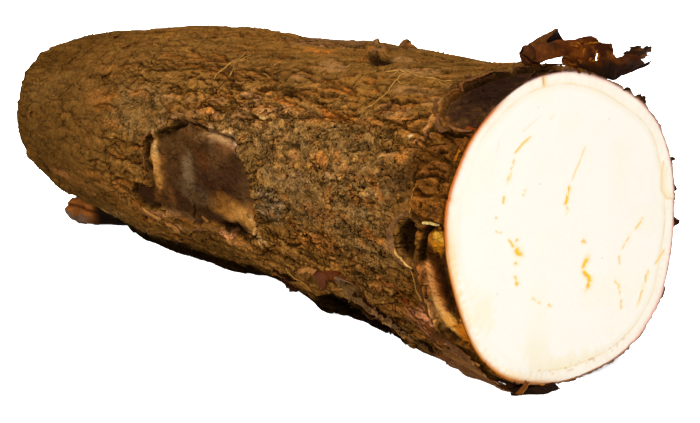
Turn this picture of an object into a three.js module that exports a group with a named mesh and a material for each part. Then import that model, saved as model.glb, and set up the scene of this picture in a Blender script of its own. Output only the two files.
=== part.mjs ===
// A cassava root lying on its side: a stout, slightly bent tuber, cut square across at one end and rounded
// at the other, with loose scrolls, curls and flakes of dry outer bark and a few thin rootlets.
// Millimetres, +Z up. The root runs along X, its cut faces +X, and it rests on the plane z = 0.
import * as THREE from "three";
import { mergeVertices } from "three/addons/utils/BufferGeometryUtils.js";

// Driving dimensions of the root.
const ROOT_LENGTH = 304;
const CUT_X = 149;
const CUT_CENTRE_Y = -3;
const END_DOME_LENGTH = 57;
const END_DOME_POWER = 2.4;
const END_SCAR_SHARE = 0.24;

// Evenly spaced stations from the cut to the far end: the section's radius, how far its centre lies to the
// side of the cut's centre, and how high its underside is above the surface that the root lies on.
const RADII = [40, 39.7, 39.4, 39, 38.8, 38.8, 36.2, 33.8, 34];
const ASIDE = [0, 0, 4.8, 7.4, 6.8, 7, 7.6, 6.3, 2.2];
const CLEARANCES = [0, 0, 0.9, 1.2, 1.2, 1, 2.8, 4.6, 4.6];

// How the cut's outline departs from a circle: cosine and sine shares of two to five waves round it.
const OUTLINE_WAVES = [
  { waves: 2, cosine: -0.013, sine: -0.027 },
  { waves: 3, cosine: 0, sine: 0.006 },
  { waves: 4, cosine: -0.011, sine: -0.002 },
  { waves: 5, cosine: -0.012, sine: 0.008 },
];
const WAVES_FADE_SHARE = 0.62;

// Two broad, flattened swellings of the underside, which the root rests on.
const FEET = [
  { from: 12, to: 112 },
  { from: 134, to: 246 },
];
const FOOT_RAMP = 26;
const FOOT_PRESS = 1.5;
const FOOT_HEIGHT = 6;

// How finely the skins are divided, and the clearance kept between pieces that touch.
const SECTION_SIDES = 64;
const RINGS_ALONG = 54;
const RING_CROWDING = 0.75;
const ROOTLET_SIDES = 8;
const ROOTLET_STEPS = 14;
const TOUCH_GAP = 0.3;
const MERGE_DISTANCE = 1e-4;

const COLOURS = {
  bark: 0x6f4b23,
  looseBark: 0x5a2c10,
  rootlet: 0xa5804a,
};

function makeFinish(color, roughness) {
  return new THREE.MeshStandardMaterial({ color, roughness, metalness: 0 });
}

const barkFinish = makeFinish(COLOURS.bark, 0.92);
const looseBarkFinish = makeFinish(COLOURS.looseBark, 0.6);
const rootletFinish = makeFinish(COLOURS.rootlet, 0.8);

const { clamp, lerp, smoothstep, degToRad } = THREE.MathUtils;

// Smooth curve through evenly spaced values, share running from 0 to 1.
function curveThrough(values, share) {
  const last = values.length - 1;
  const place = clamp(share, 0, 1) * last;
  const index = Math.min(Math.floor(place), last - 1);
  const t = place - index;
  const before = values[Math.max(index - 1, 0)];
  const start = values[index];
  const end = values[index + 1];
  const after = values[Math.min(index + 2, last)];
  const linear = end - before;
  const square = 2 * before - 5 * start + 4 * end - after;
  const cube = 3 * (start - end) + after - before;
  return start + 0.5 * t * (linear + t * (square + t * cube));
}

// The section's centre at a distance from the cut.
function axisAt(distance) {
  const share = distance / ROOT_LENGTH;
  const y = CUT_CENTRE_Y + curveThrough(ASIDE, share);
  const z = curveThrough(RADII, share) + curveThrough(CLEARANCES, share);
  return new THREE.Vector3(CUT_X - distance, y, z);
}

// Distance from the axis to the surface; the angle is 0 towards +Y and 90 degrees at the top.
function radiusAt(distance, angle) {
  const share = distance / ROOT_LENGTH;
  const fade = clamp(1 - share / WAVES_FADE_SHARE, 0, 1);
  let outline = 1;
  for (const { waves, cosine, sine } of OUTLINE_WAVES) {
    outline += fade * (cosine * Math.cos(waves * angle) + sine * Math.sin(waves * angle));
  }
  const intoDome = clamp((distance - ROOT_LENGTH + END_DOME_LENGTH) / END_DOME_LENGTH, 0, 1);
  const dome = (1 - intoDome ** END_DOME_POWER) ** (1 / END_DOME_POWER);
  return curveThrough(RADII, share) * Math.max(dome, END_SCAR_SHARE) * outline;
}

// Presses the lowest part of a section down on to the resting plane, within the feet.
function settle(point, distance) {
  let press = 0;
  for (const foot of FEET) {
    const entering = smoothstep(distance, foot.from, foot.from + FOOT_RAMP);
    const leaving = 1 - smoothstep(distance, foot.to - FOOT_RAMP, foot.to);
    press = Math.max(press, entering * leaving);
  }
  if (point.z < FOOT_HEIGHT) {
    const flatBelow = curveThrough(CLEARANCES, distance / ROOT_LENGTH) + FOOT_PRESS;
    const pressed = (FOOT_HEIGHT * (point.z - flatBelow)) / (FOOT_HEIGHT - flatBelow);
    point.z = lerp(point.z, pressed, press);
  }
  point.z = Math.max(point.z, 0);
  return point;
}

// A point on the root's surface, or off it by the given amount.
function surfacePoint(distance, angle, off = 0) {
  const radius = radiusAt(distance, angle) + off;
  const point = axisAt(distance);
  point.y += radius * Math.cos(angle);
  point.z += radius * Math.sin(angle);
  return point;
}

function geometryFrom(points, triangles) {
  const geometry = new THREE.BufferGeometry();
  geometry.setAttribute("position", new THREE.Float32BufferAttribute(points.flatMap((p) => p.toArray()), 3));
  geometry.setIndex(triangles.flat());
  return mergeVertices(geometry, MERGE_DISTANCE);
}

// The tuber itself: one closed skin through all sections, with the cut and the far scar as flat ends.
function makeRoot() {
  const points = [];
  const triangles = [];
  for (let ring = 0; ring <= RINGS_ALONG; ring += 1) {
    // The rings draw closer together towards the rounded end.
    const even = ring / RINGS_ALONG;
    const crowded = Math.sin(even * (Math.PI / 2));
    const distance = ROOT_LENGTH * lerp(even, crowded, RING_CROWDING);
    for (let side = 0; side < SECTION_SIDES; side += 1) {
      const angle = (side / SECTION_SIDES) * 2 * Math.PI;
      points.push(settle(surfacePoint(distance, angle), distance));
    }
  }
  for (let ring = 0; ring < RINGS_ALONG; ring += 1) {
    for (let side = 0; side < SECTION_SIDES; side += 1) {
      const here = ring * SECTION_SIDES + side;
      const beside = ring * SECTION_SIDES + ((side + 1) % SECTION_SIDES);
      const beyond = here + SECTION_SIDES;
      const besideBeyond = beside + SECTION_SIDES;
      triangles.push([here, beside, besideBeyond], [here, besideBeyond, beyond]);
    }
  }
  const cutCentre = points.push(axisAt(0)) - 1;
  const scarCentre = points.push(axisAt(ROOT_LENGTH)) - 1;
  const lastRing = RINGS_ALONG * SECTION_SIDES;
  for (let side = 0; side < SECTION_SIDES; side += 1) {
    const next = (side + 1) % SECTION_SIDES;
    triangles.push([cutCentre, next, side], [scarCentre, lastRing + side, lastRing + next]);
  }
  return geometryFrom(points, triangles.map(([a, b, c]) => [a, c, b]));
}

// A closed sheet of even thickness over a grid of middle-surface points, pointAt(u, v) with u, v from 0 to 1.
function makeSheet(pointAt, columns, rows, thickness) {
  const step = 1e-3;
  const outer = [];
  const inner = [];
  for (let i = 0; i <= columns; i += 1) {
    for (let j = 0; j <= rows; j += 1) {
      const u = i / columns;
      const v = j / rows;
      const alongU = pointAt(u + step, v).sub(pointAt(u - step, v));
      const alongV = pointAt(u, v + step).sub(pointAt(u, v - step));
      const normal = alongU.cross(alongV).normalize();
      outer.push(pointAt(u, v).addScaledVector(normal, thickness / 2));
      inner.push(pointAt(u, v).addScaledVector(normal, -thickness / 2));
    }
  }
  const count = outer.length;
  const index = (i, j) => i * (rows + 1) + j;
  const triangles = [];
  const quad = (a, b, c, d) => triangles.push([a, b, c], [a, c, d]);
  for (let i = 0; i < columns; i += 1) {
    for (let j = 0; j < rows; j += 1) {
      quad(index(i, j), index(i + 1, j), index(i + 1, j + 1), index(i, j + 1));
      const under = [index(i, j + 1), index(i + 1, j + 1), index(i + 1, j), index(i, j)];
      quad(...under.map((k) => k + count));
    }
    quad(index(i, 0) + count, index(i + 1, 0) + count, index(i + 1, 0), index(i, 0));
    quad(index(i, rows), index(i + 1, rows), index(i + 1, rows) + count, index(i, rows) + count);
  }
  for (let j = 0; j < rows; j += 1) {
    quad(index(0, j), index(0, j + 1), index(0, j + 1) + count, index(0, j) + count);
    quad(index(columns, j) + count, index(columns, j + 1) + count, index(columns, j + 1), index(columns, j));
  }
  return geometryFrom([...outer, ...inner], triangles);
}

// A strip of bark curled about a line from start to end, open along one side. The curl's radius follows
// evenly spaced values, and its section turns from one angle to another, 90 degrees being the top.
function makeCurl({ start, end, radii, fromAngle, toAngle, thickness, columns, rows }) {
  const line = new THREE.Vector3().subVectors(end, start).normalize();
  const up = new THREE.Vector3(0, 0, 1).addScaledVector(line, -line.z).normalize();
  const front = new THREE.Vector3().crossVectors(line, up);
  const pointAt = (u, v) => {
    const angle = degToRad(lerp(fromAngle, toAngle, v));
    const radius = curveThrough(radii, u);
    const point = new THREE.Vector3().lerpVectors(start, end, u);
    point.addScaledVector(front, radius * Math.cos(angle));
    return point.addScaledVector(up, radius * Math.sin(angle));
  };
  return makeSheet(pointAt, columns, rows, thickness);
}

// A thin rootlet lying on the bark along hand-picked places on the root's surface.
function makeRootlet(places, radius) {
  const points = places.map(([distance, degrees]) => {
    return surfacePoint(distance, degToRad(degrees), radius + TOUCH_GAP);
  });
  const route = new THREE.CatmullRomCurve3(points);
  const section = new THREE.Shape();
  section.absarc(0, 0, radius, 0, 2 * Math.PI);
  const geometry = new THREE.ExtrudeGeometry(section, {
    extrudePath: route,
    steps: ROOTLET_STEPS,
    curveSegments: ROOTLET_SIDES,
    bevelEnabled: false,
  });
  geometry.deleteAttribute("normal");
  geometry.deleteAttribute("uv");
  return mergeVertices(geometry, MERGE_DISTANCE);
}

const root = new THREE.Group();

function addPiece(name, geometry, material) {
  geometry.computeVertexNormals();
  const mesh = new THREE.Mesh(geometry, material);
  mesh.name = name;
  root.add(mesh);
}

addPiece("cassava_root", makeRoot(), barkFinish);

// The broad scroll of peeled bark that stands along the top of the cut end.
addPiece("bark_scroll", makeCurl({
  start: new THREE.Vector3(CUT_X - 5.6, CUT_CENTRE_Y - 16, 85.4),
  end: new THREE.Vector3(CUT_X - 5.6, CUT_CENTRE_Y + 28, 82.8),
  radii: [2.2, 2.7, 3.6, 3.9, 3.4, 2.4],
  fromAngle: -75,
  toAngle: 205,
  thickness: 0.9,
  columns: 14,
  rows: 14,
}), looseBarkFinish);

// A narrower roll that rises behind the scroll's left end.
addPiece("bark_roll", makeCurl({
  start: new THREE.Vector3(CUT_X - 12.4, CUT_CENTRE_Y - 10.5, 86.2),
  end: new THREE.Vector3(CUT_X - 13.2, CUT_CENTRE_Y - 1.5, 88.2),
  radii: [1.6, 2, 2.4],
  fromAngle: -60,
  toAngle: 200,
  thickness: 0.7,
  columns: 6,
  rows: 10,
}), looseBarkFinish);

// A small dark flake that stands up behind the scroll's other end.
addPiece("bark_flake_top", makeCurl({
  start: new THREE.Vector3(CUT_X - 13.5, CUT_CENTRE_Y + 15, 81.5),
  end: new THREE.Vector3(CUT_X - 13.5, CUT_CENTRE_Y + 23, 80.8),
  radii: [3.4, 3, 2.6],
  fromAngle: -10,
  toAngle: 120,
  thickness: 0.8,
  columns: 6,
  rows: 6,
}), looseBarkFinish);

// The curl of bark that hangs below the cut's lower edge and lies on the surface.
addPiece("bark_curl_bottom", makeCurl({
  start: new THREE.Vector3(CUT_X + 2.6, CUT_CENTRE_Y - 23, 1.95),
  end: new THREE.Vector3(CUT_X + 4.2, CUT_CENTRE_Y - 4, 1.95),
  radii: [1.4, 1.5, 1.3],
  fromAngle: 150,
  toAngle: 400,
  thickness: 0.7,
  columns: 8,
  rows: 10,
}), looseBarkFinish);

// The flake that sticks out low down, under the rounded far end.
addPiece("bark_flake_far", makeCurl({
  start: new THREE.Vector3(CUT_X - 292, CUT_CENTRE_Y - 1, 2.7),
  end: new THREE.Vector3(CUT_X - 262, CUT_CENTRE_Y - 4, 2.1),
  radii: [1.9, 2, 1.6],
  fromAngle: 120,
  toAngle: 330,
  thickness: 0.8,
  columns: 8,
  rows: 8,
}), looseBarkFinish);

const UPPER_ROUTE = [[56, 116], [46, 112], [38, 115], [30, 113], [23, 116]];
const LOWER_ROUTE = [[47, 116], [46, 122], [45, 128], [47, 134]];
addPiece("rootlet_upper", makeRootlet(UPPER_ROUTE, 0.45), rootletFinish);
addPiece("rootlet_lower", makeRootlet(LOWER_ROUTE, 0.5), rootletFinish);

export default root;
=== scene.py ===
"""A cassava root on a pale floor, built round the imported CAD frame.

Lengths are in millimetres until a mesh is made. Angles round the root are in degrees: 0 towards +Y, 90 at
the top, 180 towards -Y, 270 underneath. A place on the bark is its distance from the cut, and that angle.
Colours are screen colours from 0 to 255.
"""

import math

import bpy
import numpy as np
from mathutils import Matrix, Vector


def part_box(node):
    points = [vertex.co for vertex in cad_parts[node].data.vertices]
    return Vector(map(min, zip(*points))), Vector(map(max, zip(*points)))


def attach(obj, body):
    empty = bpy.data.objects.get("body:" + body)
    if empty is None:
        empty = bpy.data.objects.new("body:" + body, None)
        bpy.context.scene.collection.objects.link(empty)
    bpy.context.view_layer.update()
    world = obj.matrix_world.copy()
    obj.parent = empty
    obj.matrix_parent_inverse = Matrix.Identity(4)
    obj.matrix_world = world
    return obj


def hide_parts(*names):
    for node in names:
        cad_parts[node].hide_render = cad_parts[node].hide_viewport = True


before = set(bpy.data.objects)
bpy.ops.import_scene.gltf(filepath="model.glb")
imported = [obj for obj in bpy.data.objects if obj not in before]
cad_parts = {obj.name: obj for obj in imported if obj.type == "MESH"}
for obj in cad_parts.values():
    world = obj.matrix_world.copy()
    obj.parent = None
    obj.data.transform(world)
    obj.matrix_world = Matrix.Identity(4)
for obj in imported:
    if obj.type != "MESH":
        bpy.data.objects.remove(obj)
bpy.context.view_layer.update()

MM = 0.001
root_low, root_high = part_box("cassava_root")

# ---------------------------------------------------------------- the root's shape, as in the CAD model
CUT_X = root_high[0] / MM
ROOT_LENGTH = (root_high[0] - root_low[0]) / MM
CUT_CENTRE_Y = (root_low[1] + root_high[1]) / 2 / MM - 3
END_DOME_LENGTH = 57
END_DOME_POWER = 2.4
END_SCAR_SHARE = 0.24
RADII = (40, 39.7, 39.4, 39, 38.8, 38.8, 36.2, 33.8, 34)
ASIDE = (0, 0, 4.8, 7.4, 6.8, 7, 7.6, 6.3, 2.2)
CLEARANCES = (0, 0, 0.9, 1.2, 1.2, 1, 2.8, 4.6, 4.6)
OUTLINE_WAVES = ((2, -0.013, -0.027), (3, 0, 0.006), (4, -0.011, -0.002), (5, -0.012, 0.008))
WAVES_FADE_SHARE = 0.62
LOW_BULGE, LOW_BULGE_ANGLE, LOW_BULGE_SPREAD, LOW_BULGE_LENGTH = 0.026, 222, 22, 30
FEET = ((12, 112), (134, 246))
FOOT_RAMP = 26
FOOT_PRESS = 1.5
FOOT_HEIGHT = 6

# The bark's grid: rings along the root, and places round each ring.
RINGS = 940
PLACES = 760
EDGE_RINGS = 5
TRIANGLES = ((36000, 112000, 36000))
NEAR_TRIANGLES, SEEN_TRIANGLES, BACK_TRIANGLES = TRIANGLES
MEAN_RADIUS = 39.0
MM_PER_DEGREE = math.radians(MEAN_RADIUS)
AROUND = 360 * MM_PER_DEGREE
SMALL_FLAKES = 260
SOIL_GRAINS = 8000
BARK_GRAINS = 5000
RIND = 0.4
SKIN = 0.4
NEAR_LENGTH = 21
LOWEST_AT_CUT = -0.45
RIM_BLUR = 14
RECESS_DEPTHS = (0, 1.2, 2.6)
FLESH_DEPTHS = (0.9, 2.4)
SEEN_ANGLES = (84, 256)
CLEAR_OF_FLOOR = 0.02

# Soft patches of crumbly, earthy bark: distance, angle, half length, half width in degrees, seed, strength.
EARTHY = (
    (62, 166, 52, 25, 1, 1.0), (172, 158, 22, 14, 2, 0.9), (30, 176, 24, 24, 3, 0.9),
    (90, 330, 70, 30, 4, 0.7), (210, 250, 40, 30, 5, 0.6), (190, 20, 34, 24, 6, 0.7),
)
# Peeling scales: how many, lengths, widths, depths.
SCALES = (
    (248, (18, 34), (2.6, 4.6), (0.5, 0.9)), (630, (8, 17), (1.5, 3.2), (0.3, 0.8)),
    (1200, (3, 8), (0.7, 1.6), (0.15, 0.45)),
)
# How much brighter than its painted tone the bark is: near the cut, far away, on smooth bark, low down.
# The lift low down is painted light, making up for the light that falls short on the lower side.
GAIN_NEAR, GAIN_FAR, GAIN_PLAIN, GAIN_LOW = 1.46, 1.18, 1.07, 0.12
# Shading of hollows and bumps: size of the surroundings, height that counts in full, strength.
RELIEF_SHADES = ((2, 0.3, 0.24), (7, 0.7, 0.14))
SMALL_BLOTS = 46
# The crack tone is painted shade for cracks, pits and hollows; the shadow tone is painted shade on the
# underside.
FRESH_TONE, CRACK_SHADE_TONE, SHADOW_TONE, SCAR_TONE = (150, 80, 20), (24, 12, 3), (12, 6, 2), (96, 70, 42)

rng = np.random.default_rng(7)


# ---------------------------------------------------------------- small mathematics
def smoothstep(value, low, high):
    share = np.clip((value - low) / (high - low), 0, 1)
    return share * share * (3 - 2 * share)


def fading(value, start, gone):
    """Falls smoothly from 1 at start to 0 at gone."""
    return 1 - smoothstep(value, start, gone)


def span(value, start, full, fade, gone):
    """Rises from 0 at start to 1 at full, stays there to fade, and is 0 again from gone on."""
    return smoothstep(value, start, full) * fading(value, fade, gone)


def mix(a, b, share):
    return a + (b - a) * share


def bell(value, width):
    return np.exp(-(value / width) ** 2)


def curve_through(values, share):
    """Smooth curve through evenly spaced values, share running from 0 to 1."""
    values = np.asarray(values, float)
    last = len(values) - 1
    place = np.clip(share, 0, 1) * last
    index = np.minimum(place.astype(int), last - 1)
    t = place - index
    before, start = values[np.maximum(index - 1, 0)], values[index]
    end, after = values[index + 1], values[np.minimum(index + 2, last)]
    cube = 3 * (start - end) + after - before
    square = 2 * before - 5 * start + 4 * end - after
    return start + 0.5 * t * (end - before + t * (square + t * cube))


def unit(vectors):
    return vectors / np.maximum(np.linalg.norm(vectors, axis=-1, keepdims=True), 1e-9)


def linear(red, green, blue):
    """A screen colour, 0 to 255, as linear light."""
    share = np.array((red, green, blue)) / 255
    return np.where(share <= 0.04045, share / 12.92, ((share + 0.055) / 1.055) ** 2.4)


def tinted(colour, share, tone):
    """A colour map moved towards a tone, all the way where share is 1."""
    return colour + share[..., None] * (linear(*tone) - colour)


def coloured(shape, ground, *layers):
    """A colour map of one ground tone, with layers laid over it in turn: a share and a tone each."""
    colour = np.zeros(shape + (3,)) + linear(*ground)
    for share, tone in layers:
        colour = tinted(colour, share, tone)
    return colour


def dome_at(distance):
    into = np.clip((distance - ROOT_LENGTH + END_DOME_LENGTH) / END_DOME_LENGTH, 0, 1)
    return np.maximum((1 - into ** END_DOME_POWER) ** (1 / END_DOME_POWER), END_SCAR_SHARE)


def outline_at(distance, angle):
    fade = np.clip(1 - distance / ROOT_LENGTH / WAVES_FADE_SHARE, 0, 1)
    waves = sum(c * np.cos(n * angle) + s * np.sin(n * angle) for n, c, s in OUTLINE_WAVES)
    low_side = LOW_BULGE * np.exp(-((np.degrees(angle) - LOW_BULGE_ANGLE) / LOW_BULGE_SPREAD) ** 2)
    return 1 + fade * waves + low_side * np.clip(1 - distance / LOW_BULGE_LENGTH, 0, 1)


def surface(distance, angle, dome=None):
    """The smooth root's surface at distances from the cut and angles in radians, as (..., 3)."""
    share = distance / ROOT_LENGTH
    dome = dome_at(distance) if dome is None else dome
    radius = curve_through(RADII, share)
    reach = radius * dome * outline_at(distance, angle)
    y = CUT_CENTRE_Y + curve_through(ASIDE, share) + reach * np.cos(angle)
    z = radius + curve_through(CLEARANCES, share) + reach * np.sin(angle)
    return np.stack(np.broadcast_arrays(CUT_X - distance, y, z), -1)


def settle(points, distance):
    """Presses the lowest parts down on to the floor within the two feet."""
    press = np.zeros_like(distance)
    for start, end in FEET:
        entering = smoothstep(distance, start, start + FOOT_RAMP)
        press = np.maximum(press, entering * fading(distance, end - FOOT_RAMP, end))
    height = points[..., 2]
    flat_below = curve_through(CLEARANCES, distance / ROOT_LENGTH) + FOOT_PRESS
    pressed = FOOT_HEIGHT * (height - flat_below) / (FOOT_HEIGHT - flat_below)
    height = np.where(height < FOOT_HEIGHT, mix(height, pressed, press), height)
    points[..., 2] = np.maximum(height, 0)
    return points


# ---------------------------------------------------------------- noise
def hashed(i, j, seed):
    """A repeatable random number from 0 to 1 for each pair of whole numbers."""
    h = i.astype(np.uint32) * np.uint32(374761393) + j.astype(np.uint32) * np.uint32(668265263)
    h = (h + np.uint32(seed * 974711 + 15731)) * np.uint32(1274126177)
    h = (h ^ (h >> np.uint32(13))) * np.uint32(2246822519)
    h ^= h >> np.uint32(16)
    return (h & np.uint32(0xFFFFFF)).astype(float) / 0xFFFFFF


def lattice_noise(x, y, seed, wrap=1 << 20):
    """Smooth noise from -1 to 1 with lumps one unit wide, which repeats after wrap units of y."""
    x, y = np.broadcast_arrays(x + 500.0, y)
    i, j = np.floor(x).astype(int), np.floor(y).astype(int)
    fx, fy = x - i, y - j
    fx, fy = fx ** 3 * (fx * (6 * fx - 15) + 10), fy ** 3 * (fy * (6 * fy - 15) + 10)
    corner = [[hashed(i + a, (j + b) % wrap, seed) for b in (0, 1)] for a in (0, 1)]
    return 2 * mix(mix(corner[0][0], corner[0][1], fy), mix(corner[1][0], corner[1][1], fy), fx) - 1


def noise_sum(x, y, *layers):
    """Layers of noise added up: weight, lumps in one unit of x, lumps in one unit of y, and seed of each."""
    return sum(weight * lattice_noise(x * across, y * up, seed) for weight, across, up, seed in layers)


def noise(along, across, size, stretch, seed):
    """Noise on the unrolled bark, seamless round the root: lumps are size wide and stretch times longer."""
    count = max(3, round(AROUND / size))
    return lattice_noise(along / (size * stretch), across / AROUND * count, seed, count)


def layered_noise(along, across, size, stretch, seed, layers=3):
    total, weight, reach = 0, 1, 0
    for layer in range(layers):
        total = total + weight * noise(along, across, size / 2 ** layer, stretch, seed + layer)
        reach += weight
        weight *= 0.55
    return total / reach


def cells(along, across, size, stretch, seed):
    """Cell pattern: the gap to each cell's edge, a random number for each cell, and the place across it."""
    count = max(3, round(AROUND / size))
    x, y = along / (size * stretch) + 500, across / AROUND * count
    i, j = np.floor(x).astype(int), np.floor(y).astype(int)
    first = np.full(x.shape, 9.0)
    second = np.full(x.shape, 9.0)
    chosen, offset = np.zeros(x.shape), np.zeros(x.shape)
    for a in (-1, 0, 1):
        for b in (-1, 0, 1):
            row = (j + b) % count
            dx = i + a + 0.15 + 0.7 * hashed(i + a, row, seed) - x
            dy = j + b + 0.15 + 0.7 * hashed(i + a, row, seed + 1) - y
            far = np.hypot(dx, dy)
            nearer = far < first
            second = np.where(nearer, first, np.minimum(second, far))
            chosen = np.where(nearer, hashed(i + a, row, seed + 2), chosen)
            offset = np.where(nearer, -dy, offset)
            first = np.minimum(first, far)
    return second - first, chosen, offset


def gap_between(angle, centre):
    """Shortest turn between angles, in degrees."""
    return (angle - centre + 180) % 360 - 180


def polygon_gap(x, y, corners):
    """Distance to a closed outline, positive inside it."""
    x, y = np.broadcast_arrays(x, y)
    nearest = np.full(x.shape, 1e9)
    inside = np.zeros(x.shape, bool)
    for (ax, ay), (bx, by) in zip(corners, corners[1:] + corners[:1]):
        dx, dy = bx - ax, by - ay
        share = np.clip(((x - ax) * dx + (y - ay) * dy) / (dx * dx + dy * dy), 0, 1)
        nearest = np.minimum(nearest, np.hypot(x - ax - share * dx, y - ay - share * dy))
        if dy:
            inside ^= ((ay > y) != (by > y)) & (x < ax + (y - ay) / dy * dx)
    return np.where(inside, nearest, -nearest)


def line_gap(x, y, corners):
    """Distance to an open line, positive on its left, and how far along the line that is, 0 to 1."""
    lengths = [math.dist(a, b) for a, b in zip(corners, corners[1:])]
    total = sum(lengths)
    x, y = np.broadcast_arrays(x, y)
    nearest = np.full(x.shape, 1e9)
    place, side = np.zeros(x.shape), np.ones(x.shape)
    passed = 0
    for (ax, ay), (bx, by), length in zip(corners, corners[1:], lengths):
        dx, dy = bx - ax, by - ay
        share = np.clip(((x - ax) * dx + (y - ay) * dy) / length ** 2, 0, 1)
        gap = np.hypot(x - ax - share * dx, y - ay - share * dy)
        nearer = gap < nearest
        nearest = np.where(nearer, gap, nearest)
        place = np.where(nearer, (passed + share * length) / total, place)
        side = np.where(nearer, np.sign(dx * (y - ay) - dy * (x - ax)), side)
        passed += length
    return nearest * side, place


# ---------------------------------------------------------------- the unrolled bark
class Bark:
    """Maps over the unrolled bark: how high it stands, its colour, and masks for its kinds of surface; the
    dark mask is mostly painted shade in cracks and hollows.
    """

    def __init__(self):
        dense = np.linspace(0, ROOT_LENGTH, 4000)
        dome = dome_at(dense)
        reach = curve_through(RADII, dense / ROOT_LENGTH) * dome
        scar = reach[-1]
        path = np.concatenate([[0], np.cumsum(np.hypot(np.diff(dense), np.diff(reach)))])
        even = np.linspace(0, path[-1] + scar, RINGS)
        self.path = even
        self.distance = np.interp(even, path, dense)
        past_edge = np.clip((even - path[-1]) / scar, 0, 1)
        self.dome = np.interp(even, path, dome) * (1 - past_edge)
        self.angle = np.arange(PLACES) * (360 / PLACES)
        self.along = np.repeat(even[:, None], PLACES, 1)
        self.across = np.repeat(self.angle[None] * MM_PER_DEGREE, RINGS, 0)
        self.far = np.repeat(self.distance[:, None], PLACES, 1)
        self.turn = np.repeat(self.angle[None], RINGS, 0)
        shape = self.along.shape
        self.height, self.dark, self.fresh = np.zeros(shape), np.zeros(shape), np.zeros(shape)
        self.tint, self.peeled, self.granular = np.zeros(shape), np.zeros(shape), np.zeros(shape)
        near_side = span(self.turn, 130, 148, 232, 246)
        middle = span(self.far, 14, 28, 120, 150)
        upper_side = span(self.turn, 40, 70, 118, 142)
        far_end = smoothstep(self.far, 170, 215)
        calm = np.maximum(0.62 * upper_side, 0.5 * far_end)
        self.rough = 1 - 0.15 * near_side * middle - calm
        self.lively = 1 + 0.8 * near_side * middle - 1.2 * calm
        self.colour = np.zeros(shape + (3,))

    def window(self, distance, angle, half_length, half_width):
        """Slices of the grid round a place, with the offsets from it in millimetres."""
        ring = np.interp(distance, self.distance, self.path)
        low, high = np.searchsorted(self.path, (ring - half_length, ring + half_length))
        local = max(float(np.interp(ring, self.path, self.dome)), 0.2)
        turn = half_width / MM_PER_DEGREE / local
        first = math.floor((angle - turn) * PLACES / 360)
        columns = np.arange(first, math.ceil((angle + turn) * PLACES / 360) + 1)
        along = (self.path[low:high] - ring)[:, None]
        across = ((columns * 360 / PLACES - angle) * MM_PER_DEGREE * local)[None]
        rows = np.arange(low, high)[:, None]
        return (rows, (columns % PLACES)[None]), along, across

    def region(self, places, margin):
        """Slices of the grid round a list of places, with the distance and the arc length at each point."""
        distances = [distance for distance, _ in places]
        angles = [angle for _, angle in places]
        low, high = np.searchsorted(self.distance, (min(distances) - margin, max(distances) + margin))
        turn = margin / MM_PER_DEGREE
        first = math.floor((min(angles) - turn) * PLACES / 360)
        last = math.ceil((max(angles) + turn) * PLACES / 360)
        columns = np.arange(first, last + 1)
        rows = np.arange(max(low, 0), high)[:, None]
        x = self.distance[rows]
        y = (columns * 360 / PLACES * MM_PER_DEGREE)[None]
        return (rows, (columns % PLACES)[None]), x + 0 * y, y + 0 * x

    def height_at(self, distance, angle):
        row = np.clip(np.searchsorted(self.distance, distance), 0, RINGS - 1)
        column = np.round(np.asarray(angle) * PLACES / 360).astype(int) % PLACES
        return self.height[row, column]


def at_least(layer, at, value):
    layer[at] = np.maximum(layer[at], value)


def unrolled(places):
    return [(distance, angle * MM_PER_DEGREE) for distance, angle in places]


def wobble(bark, at, size, seed):
    return noise(bark.along[at], bark.across[at], size, 1.6, seed)


def peel_scale(bark, distance, angle, length, width, depth, slant=0.0, fresh=0.0, dark=1.0, seed=0, tint=0.0,
               side=1):
    """A lifted scale of bark: an arched crack, with the bark under it sunk and rising again away from it."""
    half = length / 2
    at, along, across = bark.window(distance, angle, half, width * 1.6 + 2)
    if at[0].size == 0:
        return
    share = np.clip(np.abs(along) / half, 0, 1)
    swell = np.sqrt(1 - share ** 2)
    bend = wobble(bark, at, 3.0, 40 + seed % 5) * 0.7 + wobble(bark, at, 1.2, 50 + seed % 7) * 0.3
    line = side * (across - slant * along) + width * swell * 0.55 + bend
    under = np.clip(line / (width * swell + 0.3), 0, 1)
    inside = (line > 0) & (under < 1)
    sink = np.where(inside, (1 - under) ** 1.7, 0) * swell
    lip = np.exp(-np.clip(-line, 0, 9) / 0.9) * (line <= 0) * swell
    bark.height[at] += depth * (0.3 * lip - 0.75 * sink)
    opening = bell(line - 0.3, 0.4) * smoothstep(swell, 0.15, 0.6)
    bark.height[at] -= depth * 0.7 * opening
    # Painted shade in the opening under the lifted scale.
    at_least(bark.dark, at, dark * opening)
    bark.tint[at] = mix(bark.tint[at], tint, np.where(inside, smoothstep(1 - under, 0, 0.35), 0) * 0.8)
    if fresh:
        band = bell(line - 1.1, 0.8) * swell
        at_least(bark.fresh, at, fresh * band)


def crack(bark, places, width, depth, lip, sink, reach, fresh, dark, side=1, spread=1.2, wave=0.5, seed=0):
    """An open crack along a line of places: the bark is lifted on one side of it and sunk on the other."""
    at, x, y = bark.region(places, 3 * max(reach, spread) + 2)
    x = x + wave * wobble(bark, at, 2.6, 600 + seed)
    y = y + wave * (wobble(bark, at, 2.4, 620 + seed) + 0.4 * wobble(bark, at, 0.9, 640 + seed))
    gap, place = line_gap(x, y, unrolled(places))
    gap = gap * side
    taper = np.sqrt(np.clip(span(place, 0, 0.16, 0.84, 1), 0, 1))
    ends = taper * (np.abs(gap) < 3 * max(reach, spread))
    under = np.where(gap > 0, np.exp(-np.clip(gap, 0, 99) / reach), 0) * ends
    over = np.where(gap <= 0, np.exp(np.clip(gap, -99, 0) / spread), 0) * ends
    core = bell(gap - 0.1, width) * taper
    bark.height[at] += lip * over - sink * under - depth * core
    # Painted shade in the open crack.
    at_least(bark.dark, at, dark * core)
    if fresh:
        band = bell(gap - 1.1, 0.9) * ends
        at_least(bark.fresh, at, fresh * band)


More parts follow.
